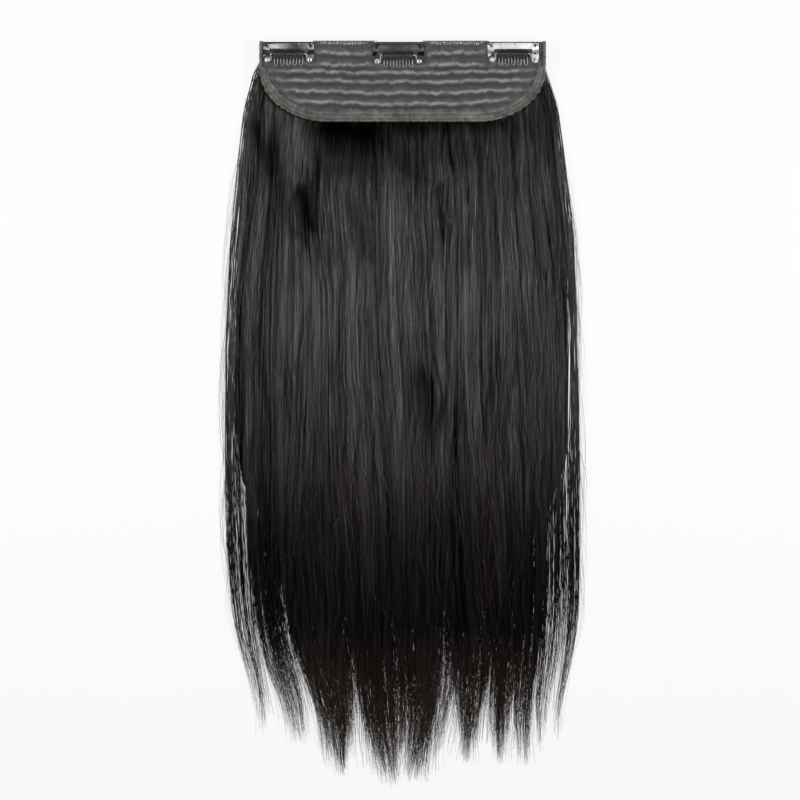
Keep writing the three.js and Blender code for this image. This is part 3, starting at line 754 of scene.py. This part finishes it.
def net_material():
    """Fine dark net on the bias, paler along each rib with a painted highlight, and with a painted shadow just
    below it.
    """
    material, tree, shader = new_material("fine_net")
    where = node(tree, "ShaderNodeTexCoord").outputs["Object"]
    on_bias = node(tree, "ShaderNodeMapping", {"Vector": where, "Rotation": (0, 0, math.radians(45))})
    weave = node(tree, "ShaderNodeGroup", {
        "Place": on_bias, "Pitch": 0.0013, "Thread": 0.17, "Unevenness": 0.7,
    }, node_tree=open_weave)
    rib = node(tree, "ShaderNodeAttribute", attribute_name="rib").outputs["Fac"]
    patchy = remap(tree, noise(tree, where, 260.0, 4.0, Roughness=0.7), (0.35, 0.65), (0.5, 1.25))
    lit = calc(tree, "MULTIPLY", rib, patchy)
    thread = ramp(tree, lit, (0, (0.03, 0.03, 0.034)), (1, (0.38, 0.372, 0.375)), (0.3, (0.094, 0.092, 0.1)))
    feed(shader, {
        "Base Color": blended(tree, weave, vector_calc(tree, "SCALE", thread, 0.4), thread),
        "Roughness": 0.85,
        "Normal": bumps(tree, weave, 0.8, 0.00018),
    })
    return material


def net_sheet():
    rows, columns = 100, 200
    inset = tape_fold
    share = np.linspace(0, 1, rows)[:, None]
    across = np.linspace(-1, 1, columns)[None, :]
    x = across * base_reach(np.zeros((rows, columns)), inset)
    for _ in range(4):  # x and down settle, as each depends on the other
        top = 0.9 + (selvedge - 0.9) * clear_of_clips(x) + 0.25 * np.sin(x / 3.1) * clear_of_clips(x)
        down = top + (base_height - inset - top) * share
        x = across * base_reach(down, inset)
    lift = np.zeros_like(x)
    rib = np.zeros_like(x)
    # A painted shadow in a line just below the net's top edge
    painted_shadow_line = 0.5 * np.exp(-(((down - top - 0.7) / 0.5) ** 2))
    for row in weft_rows:
        off = (down - rib_line(row, x)) / rib_half_width
        inner = ease((base_reach(down, 8) - np.abs(x)) / 14)
        flat = clear_of_clips(x) if row[3] else 1
        lift = np.maximum(lift, row[2] * rib_rise * inner * flat * np.clip(1 - np.abs(off), 0, 1) ** 0.8)
        # A painted highlight along each rib and a painted shadow just below it
        ragged = off + 0.1 * np.sin(x * 2.9 + 2 * np.sin(x * 0.9)) + 0.05 * np.sin(x * 5.3)
        shown = (0.35 + 0.65 * inner) * (0.3 + 0.7 * flat)
        rib = np.maximum(rib, np.exp(-((ragged * 1.9) ** 2)) * shown)
        painted_shadow_line = np.maximum(painted_shadow_line, np.exp(-(((ragged - 1.3) * 1.7) ** 2)) * shown)
    pucker = 0.12 * np.sin(x * 1.9 + 2 * np.sin(down * 0.7)) * np.sin(down * 0.55) * clear_of_clips(x)
    points = np.stack([x + base_middle, base_top - down, net_top + lift + pucker], -1)
    # The ribs' painted light: pale highlight on each, dark shadow below
    painted_rib_light_and_shadow = 0.3 + 0.7 * rib - 0.22 * painted_shadow_line * (1 - rib)
    return wall("net", points, points - (0, 0, net_thick), net_material(), rib=painted_rib_light_and_shadow)


net = net_sheet()
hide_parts("net_base")
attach(net, "base")

# The lace between the clips: two spaces, each with slanting threads and three threads along it
lace_spans = [
    (left + clip_half_width + 1.2, right - clip_half_width - 1.2)
    for left, right in zip(clip_middles, clip_middles[1:])
]
lace = []
for left, right in lace_spans:
    places = np.arange(left, right, 0.8)
    for lean in (-0.6, 0, 0.6):
        at = places + random.normal(0, 0.12, len(places))
        ends = np.stack([at, at + lean * 0.5 + random.normal(0, 0.1, len(at)), at + lean], 1)
        downs = np.array([0.45, 1.6, selvedge + 0.6]) + random.normal(0, 0.12, (len(at), 3))
        lace.append(np.stack([ends + base_middle, base_top - downs, net_top + 0.12 + 0 * downs], -1))
lace = np.concatenate(lace)
lace_thread = thread_material("lace_thread", (0.09, 0.088, 0.095), 0.4)
lace_wire = 0.17
pieces = [spun("net_lace", lace, np.full(lace.shape[:2], lace_wire), lace_thread, sides=4)]
for k, (left, right) in enumerate(lace_spans):
    x = np.linspace(left - 2, right + 2, 70)
    runs = np.array([
        np.stack([
            x + base_middle, base_top - (down + 0.12 * np.sin(x * 3.7 + down)),
            0 * x + net_top + 0.2,
        ], -1)
        for down in (0.4, 0.75, selvedge + 0.3)
    ])
    pieces.append(spun(f"net_edge_{k + 1}", runs, np.full(runs.shape[:2], lace_wire), lace_thread, sides=5))
for piece in pieces:
    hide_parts("net_base")
    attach(piece, "base")

# Binding tape
# A soft brown-grey knitted tape, folded over the net's edge and stitched through, gathered where it
# turns the corners. Its ends are under the outer clips.
tape_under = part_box("binding_tape")[0].z / mm
tape_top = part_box("binding_tape")[1].z / mm
tape_at_clips = 2.2
tape_at_sides = 5.8
tape_at_bottom = 7.8
tape_wall = 0.55
clips_end = 15.8


def tape_wide(down):
    """How far the tape reaches in over the net, narrow beside the clips and widest at the bottom."""
    below_clips = ease((down - clips_end) / (straight_side - clips_end))
    beside = tape_at_clips + (tape_at_sides - tape_at_clips) * below_clips
    return beside + (tape_at_bottom - beside) * ease((down - straight_side) / (base_height - straight_side))


def tape_path(step):
    """Points along the base's outline from its left top corner to the right one, and outward directions."""
    corner_down = base_height - straight_side
    flat = base_half_width - corner_across
    side = np.stack([np.full(40, -base_half_width), np.linspace(0.6, straight_side, 40)], 1)
    turn = np.linspace(0, np.pi / 2, 160)[1:]
    corner = np.stack([-flat - corner_across * np.cos(turn), straight_side + corner_down * np.sin(turn)], 1)
    bottom = np.stack([np.linspace(-flat, 0, 80)[1:], np.full(79, base_height)], 1)
    half = np.concatenate([side, corner, bottom])
    whole = np.concatenate([half, half[-2::-1] * [-1, 1]])
    reach = np.concatenate([[0], np.cumsum(np.linalg.norm(np.diff(whole, axis=0), axis=1))])
    at = np.linspace(0, reach[-1], int(reach[-1] / step) + 1)
    path = np.stack([np.interp(at, reach, whole[:, k]) for k in (0, 1)], 1)
    ahead = np.gradient(path, axis=0)
    ahead /= np.linalg.norm(ahead, axis=1)[:, None]
    out = np.stack([-ahead[:, 1], ahead[:, 0]], 1)
    return at, path, out


def face_outward(mesh):
    """Turns every face of a closed mesh outward."""
    turned = bmesh.new()
    turned.from_mesh(mesh)
    bmesh.ops.recalc_face_normals(turned, faces=turned.faces)
    turned.to_mesh(mesh)
    turned.free()


def tape_piece():
    """The tape as a closed wall: 25 places across, from its lower flap round its fold to its upper."""
    at, path, out = tape_path(0.55)
    gathered = 0.3 + 0.7 * ease((path[:, 1] - 14) / 10) * (1 - 0.7 * ease((path[:, 1] - 46) / 4))
    uneven = np.sin(at / 1.1 + 2 * np.sin(at / 7)) + np.sin(at / 0.53 + 1.3) + np.sin(at / 2.3)
    inner = tape_wide(path[:, 1]) + 0.28 * gathered * uneven
    in_flap, places = 9, 25
    flap = np.linspace(1, 0, in_flap)
    bend = np.linspace(0, np.pi, 9)[1:-1]
    low, high = tape_under, tape_top
    fold = 1.15
    stations, around = len(at), 2 * places
    rng = np.random.default_rng(7)
    gather = np.zeros((stations, places))
    for _ in range(26):
        length = rng.uniform(1.8, 6.0)
        lean = rng.uniform(-0.9, 0.9)
        gather += rng.uniform(0.3, 1) * np.sin(
            at[:, None] * 2 * np.pi / length + lean * np.arange(places)[None, :] * 0.5 + rng.uniform(0, 6.28)
        )
    gather = np.clip(gather / (2 * gather.std()), -1, 1)
    points = np.zeros((stations, around, 3))
    uv = np.zeros((stations, around, 2))
    for j in range(places):
        if j < in_flap:
            inward = fold + (inner - fold) * flap[j]
            level = np.full(stations, low)
            normal = (0, -1)
        elif j < places - in_flap:
            angle = bend[j - in_flap]
            inward = np.full(stations, fold - fold * np.sin(angle))
            level = np.full(stations, (low + high) / 2 - (high - low) / 2 * np.cos(angle))
            normal = (-np.sin(angle), -np.cos(angle))
        else:
            inward = fold + (inner - fold) * flap[places - 1 - j]
            level = np.full(stations, high)
            normal = (0, 1)
        above = j >= in_flap
        hem = np.exp(-((inner - inward - 0.9) / 0.55) ** 2) if j >= places - in_flap else 0
        bumpy = gather[:, j] * gathered * (0.6 if above else 0.1) - (0.42 if above else 0.08) * gathered
        swell = bumpy + 0.18 * hem - (0.12 if j in (15, 16, 17) else 0)
        for inset, k in ((0, j), (tape_wall, around - 1 - j)):
            across = inward + normal[0] * (swell - inset)
            points[:, k, 0] = path[:, 0] - out[:, 0] * across + base_middle
            points[:, k, 1] = base_top - (path[:, 1] - out[:, 1] * across)
            points[:, k, 2] = level + normal[1] * (swell - inset)
            uv[:, k, 0] = at
            uv[:, k, 1] = inward if j >= places // 2 else -inward
    faces = []
    for j in range(around):
        a = np.arange(stations - 1) * around + j
        b = np.arange(stations - 1) * around + (j + 1) % around
        faces.append(np.stack([a, b, b + around, a + around], 1))
    faces = np.concatenate(faces).tolist()
    for k in range(places - 1):
        for base, turn in ((0, 1), ((stations - 1) * around, -1)):
            quad = [base + k, base + around - 1 - k, base + around - 2 - k, base + k + 1]
            faces.append(quad[::turn])
    made = shaped("tape", points, [], faces, tape_material())
    layer = made.data.uv_layers.new(name="along_tape")
    corners = np.zeros(len(made.data.loops), int)
    made.data.loops.foreach_get("vertex_index", corners)
    layer.data.foreach_set("uv", (uv.reshape(-1, 2)[corners] * mm).ravel())
    face_outward(made.data)
    return made


def tape_material():
    """Knitted brown-grey tape, with bands along it, worn in blotches."""
    material, tree, shader = new_material("knitted_tape")
    where = node(tree, "ShaderNodeUVMap", uv_map="along_tape").outputs["UV"]
    place = node(tree, "ShaderNodeTexCoord").outputs["Object"]
    sizes = {"Place": where, "Pitch": 0.0006, "Thread": 0.3}
    weave = node(tree, "ShaderNodeGroup", sizes, node_tree=open_weave)
    cloud = noise(tree, place, 240.0, 5.0, Roughness=0.75)
    shade = ramp(tree, cloud, (0.3, (0.036, 0.034, 0.032)), (0.7, (0.19, 0.178, 0.162)))
    across = node(tree, "ShaderNodeSeparateXYZ", {"Vector": where}).outputs["Y"]
    ridge = calc(tree, "SINE", calc(tree, "MULTIPLY", across, 2 * math.pi / (2.5 * mm)))
    band = remap(tree, ridge, (-1.0, 1.0), (0.72, 1.2))
    blotched = remap(tree, noise(tree, place, 75.0, 2.0), (0.3, 0.7), (0.72, 1.5))
    banded = vector_calc(tree, "SCALE", shade, calc(tree, "MULTIPLY", band, blotched))
    feed(shader, {
        "Base Color": blended(tree, weave, (0.05, 0.047, 0.045, 1), banded),
        "Roughness": 0.9,
        "Normal": bumps(tree, weave, 0.7, 0.00015),
    })
    return material


# Ends of thread that fray out of the tape's lower edge, and a loop near the right corner
frays = []
for x, down, turn, long, level in (
    (58, 44.5, 0.4, 6, tape_top), (60.5, 46, 2.4, 5, tape_top), (62.5, 45.5, 1.1, 7, tape_top),
    (64, 46.5, 2.8, 4.5, tape_top), (85.5, 30, 2.0, 4, tape_top), (-19.5, 2.2, 1.8, 4.5, net_top + 0.2),
    (-60, 43, 0.9, 4, tape_top), (20, 47.5, 0.1, 5, tape_top),
):
    step = np.linspace(0, 1, 8)
    bend = turn + 1.6 * step * random.uniform(-1, 1)
    across = x + base_middle + long * step * np.cos(bend)
    along = base_top - down + long * step * np.sin(bend)
    frays.append(np.stack([across, along, level + 0.1 + 0.3 * np.sin(np.pi * step)], -1))
frays = spun("tape_frays", np.array(frays), np.full((len(frays), 8), 0.09), lace_thread, sides=4)
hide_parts("binding_tape")
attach(frays, "base")

tape = tape_piece()
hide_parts("binding_tape")
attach(tape, "base")

# Snap clips
# Each is a plate of spring steel, a comb of looped teeth held by two eyelets, and a black rubber
# cord wound round the comb's bar. The plate rises at its neck, along its arms over the comb.
strip_deep = (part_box("clip_left_strip")[1].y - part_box("clip_left_strip")[0].y) / mm
plate_thick = 0.45
strip_arch = 1.2
flex_slit = 0.3
arm_length = 8.3
arm_wide = 4.1
clip_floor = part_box("clip_left_strip")[0].z / mm
arm_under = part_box("clip_left_arm_l")[1].z / mm - plate_thick
comb_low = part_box("clip_left_comb")[0].z / mm
comb_thick = (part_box("clip_left_comb")[1].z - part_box("clip_left_comb")[0].z) / mm
hole_radius = 0.7


def arc(x, y, radius, start, end, steps):
    """Points of an arc, in degrees, counter-clockwise when end is past start."""
    turn = np.radians(np.linspace(start, end, steps + 1))
    return [(x + radius * np.cos(t), y + radius * np.sin(t)) for t in turn]


def cut_plate(name, outline, holes, cuts_x, cuts_y, level, thick, edge):
    """A plate cut from sheet steel, with rounded edges. level gives its under face's height at each point."""
    plate = bmesh.new()
    edges = []
    for ring in [outline, *holes]:
        corners = [plate.verts.new((x, y, 0)) for x, y in ring]
        edges += [plate.edges.new((a, b)) for a, b in zip(corners, corners[1:] + corners[:1])]
    bmesh.ops.triangle_fill(plate, use_beauty=True, use_dissolve=False, edges=edges, normal=(0, 0, 1))
    for places, normal in ((cuts_x, (1, 0, 0)), (cuts_y, (0, 1, 0))):
        for place in places:
            point = (place if normal[0] else 0, place if normal[1] else 0, 0)
            bmesh.ops.bisect_plane(
                plate, geom=plate.verts[:] + plate.edges[:] + plate.faces[:], dist=1e-5,
                plane_co=point, plane_no=normal,
            )
    bmesh.ops.remove_doubles(plate, verts=plate.verts, dist=1e-4)
    bmesh.ops.recalc_face_normals(plate, faces=plate.faces)
    if sum(f.normal.z for f in plate.faces) < 0:
        bmesh.ops.reverse_faces(plate, faces=plate.faces)
    rim = [e for e in plate.edges if e.is_boundary]
    top_faces = plate.faces[:]
    copied = bmesh.ops.duplicate(plate, geom=plate.verts[:] + plate.edges[:] + plate.faces[:])
    low_of = {a: b for a, b in copied["vert_map"].items() if a in set(v for f in top_faces for v in f.verts)}
    low_faces = [g for g in copied["geom"] if isinstance(g, bmesh.types.BMFace)]
    bmesh.ops.reverse_faces(plate, faces=low_faces)
    for e in rim:
        a, b = e.verts
        plate.faces.new((b, a, low_of[a], low_of[b]))
    tops = set(v for f in top_faces for v in f.verts)
    for v in plate.verts:
        v.co.z = level(v.co.x, v.co.y) + (thick if v in tops else 0)
    bmesh.ops.recalc_face_normals(plate, faces=plate.faces)
    mesh = bpy.data.meshes.new(name)
    for v in plate.verts:
        v.co *= mm
    plate.to_mesh(mesh)
    plate.free()
    made = add_object(name, mesh)
    bevel = made.modifiers.new("edge", "BEVEL")
    bevel.width = edge * mm
    bevel.segments = 2
    bevel.angle_limit = math.radians(50)
    bevel.limit_method = "ANGLE"
    mesh.shade_smooth()
    return made


def settled(piece, at):
    """Applies the piece's modifiers and puts its place, in millimetres, into its mesh."""
    mesh = bpy.data.meshes.new_from_object(piece.evaluated_get(bpy.context.evaluated_depsgraph_get()))
    piece.modifiers.clear()
    piece.data = mesh
    for v in mesh.vertices:
        v.co += Vector(at) * mm
    return piece


def plate_outline():
    """The plate round the clip's middle: a strip with an arm at each end, from its top left corner."""
    half, foot = clip_half_width, -strip_deep - flex_slit - arm_length
    inner = half - arm_wide
    right = (
        arc(half - 0.9, -0.9, 0.9, 90, 0, 4)
        + [(half, -strip_deep), (half - 0.15, foot + 3.6)]
        + arc(half - 2.25, foot + 1.75, 1.75, -10, -170, 10)
        + [(inner, foot + 3.4), (inner, -strip_deep - 0.7)]
        + arc(inner - 0.7, -strip_deep - 0.7, 0.7, 0, 90, 3)
    )
    left = [(-x, y) for x, y in reversed(right)]
    return right + left


def plate_level(x, y):
    """Height of the plate's under face: arched along the strip, rising along the arms over the comb."""
    arch = strip_arch * (1 - (x / clip_half_width) ** 2)
    down = -y - strip_deep
    share = min(1, max(0, down / (0.44 * arm_length)))
    risen = share * share * (3 - 2 * share)
    return clip_floor + arch * (1 - min(1, max(0, down / 2))) + (arm_under - clip_floor) * risen


def steel_material(name, colour, metallic, roughness, worn):
    """Plated spring steel: rolled lines along the strip, faint smudges and worn patches of the plating."""
    material, tree, shader = new_material(name)
    where = node(tree, "ShaderNodeTexCoord").outputs["Object"]
    stretched = node(tree, "ShaderNodeMapping", {"Vector": where, "Scale": (60, 2600, 60)})
    smudge = noise(tree, where, 420.0, 4.0)
    feed(shader, {
        "Base Color": blended(tree, remap(tree, smudge, (0.62, 0.7)), (*colour, 1), (*worn, 1)),
        "Metallic": metallic,
        "Roughness": remap(tree, smudge, (0.3, 0.7), (roughness * 0.75, roughness * 1.4)),
        "Normal": bumps(tree, noise(tree, stretched, 1.0, 2.0), 0.12, 0.00003),
    })
    return material


# Lit and shaded copies of one plated steel: the left clip's is the plain one, the middle clip's is darker and
# greenish as painted shade, the right clip's is lighter as a painted reflection
dark_plate = steel_material("dark_plated_steel", (0.09, 0.093, 0.098), 0.8, 0.22, (0.2, 0.2, 0.21))
greenish_shaded_plate = steel_material("shaded_plated_steel", (0.036, 0.043, 0.042), 1.0, 0.34, (0.1, 0.11, 0.11))
lit_bright_plate = steel_material("bright_steel", (0.5, 0.5, 0.51), 0.6, 0.4, (0.3, 0.3, 0.31))
comb_steel = steel_material("comb_steel", (0.2, 0.202, 0.205), 1.0, 0.42, (0.32, 0.32, 0.32))
brass = steel_material("brass_eyelet", (0.6, 0.55, 0.44), 1.0, 0.34, (0.4, 0.34, 0.22))
rubber, tree, shader = new_material("black_rubber")
grain = noise(tree, node(tree, "ShaderNodeTexCoord").outputs["Object"], 2500.0, 3.0)
feed(shader, {
    "Base Color": ramp(tree, grain, (0, (0.004, 0.004, 0.0045)), (1, (0.016, 0.016, 0.017))),
    "Roughness": 0.5,
    "Normal": bumps(tree, grain, 0.3, 0.00005),
})
sewing_thread = thread_material("black_sewing_thread", (0.008, 0.008, 0.009), 0.3)

bar_down = 6.76
bar_wide = 1.0
link_x = 11.05
link_wide = 1.0
tooth_count = 5
tooth_pitch = (2 * link_x - link_wide) / (tooth_count + 0.45)
tooth_wide = tooth_pitch - 1.37
tooth_wire = 0.55
tooth_tip_down = 14.11
rivet_x = 13.0
rivet_down = 10.4
ear_radius = 2.0


def bore(x, down, radius, steps):
    """A round hole in a plate, down from the clip's top edge."""
    return arc(x, -down, radius, 0, 360, steps)[:-1]


def comb_outline():
    """The comb round the clip's middle: its outer ring, then its slots and bores."""
    bar_top, bar_bottom = -bar_down + bar_wide / 2, -bar_down - bar_wide / 2
    tip = -tooth_tip_down + tooth_wide / 2
    inner, outer = link_x - link_wide / 2, link_x + link_wide / 2
    meets = math.degrees(math.acos((outer - rivet_x) / ear_radius))
    ring = [(-inner, bar_bottom)]
    places = [(i - (tooth_count - 1) / 2) * tooth_pitch for i in range(tooth_count)]
    for x in places:
        ring.append((x - tooth_wide / 2, bar_bottom))
        ring += arc(x, tip, tooth_wide / 2, 180, 360, 12)
        ring.append((x + tooth_wide / 2, bar_bottom))
    ring += [(inner, bar_bottom)]
    ring += arc(rivet_x, -rivet_down, ear_radius, 180, 360 + meets, 20)
    ring += [(outer, bar_top), (-outer, bar_top)]
    ring += arc(-rivet_x, -rivet_down, ear_radius, 180 - meets, 360, 20)[:-1]
    ring += [(-inner, -rivet_down)]
    slots = []
    for x in places:
        half = tooth_wide / 2 - tooth_wire
        slots.append([(x + half, bar_bottom - tooth_wire / 2), (x - half, bar_bottom - tooth_wire / 2)]
                     + arc(x, tip, half, 180, 360, 10))
    bores = [bore(x, rivet_down, 1.0, 16) for x in (-rivet_x, rivet_x)]
    return ring, slots + bores


def eyelet_mesh(name, places, finish):
    """Rolled eyelets, turned round each place: a bored barrel with a flange at both ends."""
    low, high = (corner.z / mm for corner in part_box("clip_left_rivet_l"))
    profile = [
        (0.5, low), (0.5, high - 0.22), (0.58, high - 0.08), (0.75, high), (1.1, high - 0.03),
        (1.4, high - 0.18), (1.5, high - 0.34), (0.85, high - 0.34), (0.85, low + 0.3), (1.5, low + 0.3),
        (1.5, low + 0.1), (1.35, low),
    ]
    turns, size = 28, len(profile)
    points, faces = [], []
    for x, y in places:
        first = len(points)
        for i in range(turns):
            angle = 2 * math.pi * i / turns
            points += [(x + r * math.cos(angle), y + r * math.sin(angle), z) for r, z in profile]
            here, after = first + i * size, first + (i + 1) % turns * size
            faces += [(here + j, here + (j + 1) % size, after + (j + 1) % size, after + j) for j in range(size)]
    made = shaped(name, points, [], faces, finish)
    face_outward(made.data)
    return made


def cord_route():
    """The rubber cord's turns round the comb's bar, one through each space between the wires."""
    turns = 2 * tooth_count + 1
    steps = 20
    t = np.arange((turns - 1) * steps + 1) / steps
    angle = 2 * np.pi * t
    half_high, half_rise = 2.45, comb_thick / 2 + 0.15 + 0.36
    up = -np.sign(np.cos(angle)) * np.abs(np.cos(angle)) ** 0.55 * half_high
    rise = np.sign(np.sin(angle)) * np.abs(np.sin(angle)) ** 0.75 * half_rise
    middle = comb_low + comb_thick / 2
    x = (t - (turns - 1) / 2) * tooth_pitch / 2
    cords = [[x + side, up - bar_down - 0.5, middle + rise] for side in (-0.42, 0.42)]
    return np.stack(cords).transpose(0, 2, 1)


sewing_x = 13.3
# The middle clip gets the painted-shade copy of the steel, the right clip the painted-reflection copy, its
# eyelets too
finishes = {
    "clip_left": (dark_plate, brass, "brass"),
    "clip_middle": (greenish_shaded_plate, brass, "brass"),
    "clip_right": (lit_bright_plate, lit_bright_plate, "bright_steel"),
}
for name, middle in zip(clip_names, clip_middles):
    plate_finish, rivet_finish, rivet_slot = finishes[name]
    clip_at = (middle + base_middle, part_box(f"{name}_strip")[1].y / mm, 0)
    front = f"{name}_front"
    sewing = [bore(x, strip_deep / 2, hole_radius, 14) for x in (-sewing_x, sewing_x)]
    arm_hole_down = strip_deep + flex_slit + 0.3 * arm_length
    arm_holes = [bore(x, arm_hole_down, hole_radius, 14) for x in (-sewing_x, sewing_x)]
    bores = [bore(x, rivet_down, 1.0, 16) for x in (-rivet_x, rivet_x)]
    plate = cut_plate(
        f"{name}_plate", plate_outline(), sewing + arm_holes + bores,
        np.arange(-15.2, 15.3, 0.8), np.arange(-11.5, -3.3, 0.45), plate_level, plate_thick, 0.1,
    )
    plate.data.materials.append(plate_finish)
    settled(plate, clip_at)
    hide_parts(f"{name}_strip", f"{name}_arm_l", f"{name}_arm_r")
    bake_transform(plate)
    ring, slots = comb_outline()
    comb = cut_plate(f"{name}_teeth", ring, slots, (), (), lambda x, y: comb_low, comb_thick, 0.13)
    comb.data.materials.append(comb_steel)
    settled(comb, clip_at)
    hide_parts(f"{name}_comb")
    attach(comb, front)
    cord = spun(f"{name}_cord", cord_route() + np.array(clip_at), np.full((2, 201), 0.35), rubber, sides=8)
    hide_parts(f"{name}_grip")
    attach(cord, front)
    rivets = [(clip_at[0] + side * rivet_x, clip_at[1] - rivet_down) for side in (-1, 1)]
    eyelets = eyelet_mesh(f"{name}_eyelets", rivets, rivet_finish)
    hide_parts(f"{name}_rivet_l", f"{name}_rivet_r")
    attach(eyelets, front)
    stitches = []
    for side in (-1, 1):
        for turn in random.uniform(0.0, 2.2, 7 if name == "clip_right" else 12):
            step = np.linspace(0, 1, 12)
            x = side * (sewing_x + (3.15 + random.uniform(-0.15, 0.2)) * step * math.cos(turn))
            y = -strip_deep / 2 + (strip_deep / 2 + random.uniform(0.4, 0.65)) * step * math.sin(turn)
            over = np.array([plate_level(a, min(0, b)) for a, b in zip(x, y)]) + plate_thick + 0.17
            past = ease((np.maximum(np.abs(x) - clip_half_width, y) + 0.02) / 0.3)
            over = over + (net_top + 0.15 - over) * past
            over[0] -= 0.5
            stitches.append(np.stack([x + clip_at[0], y + clip_at[1], over], -1))
    widths = np.full((len(stitches), 12), 0.15)
    threads = spun(f"{name}_stitches", np.array(stitches), widths, sewing_thread, sides=4)
    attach(threads, "base")
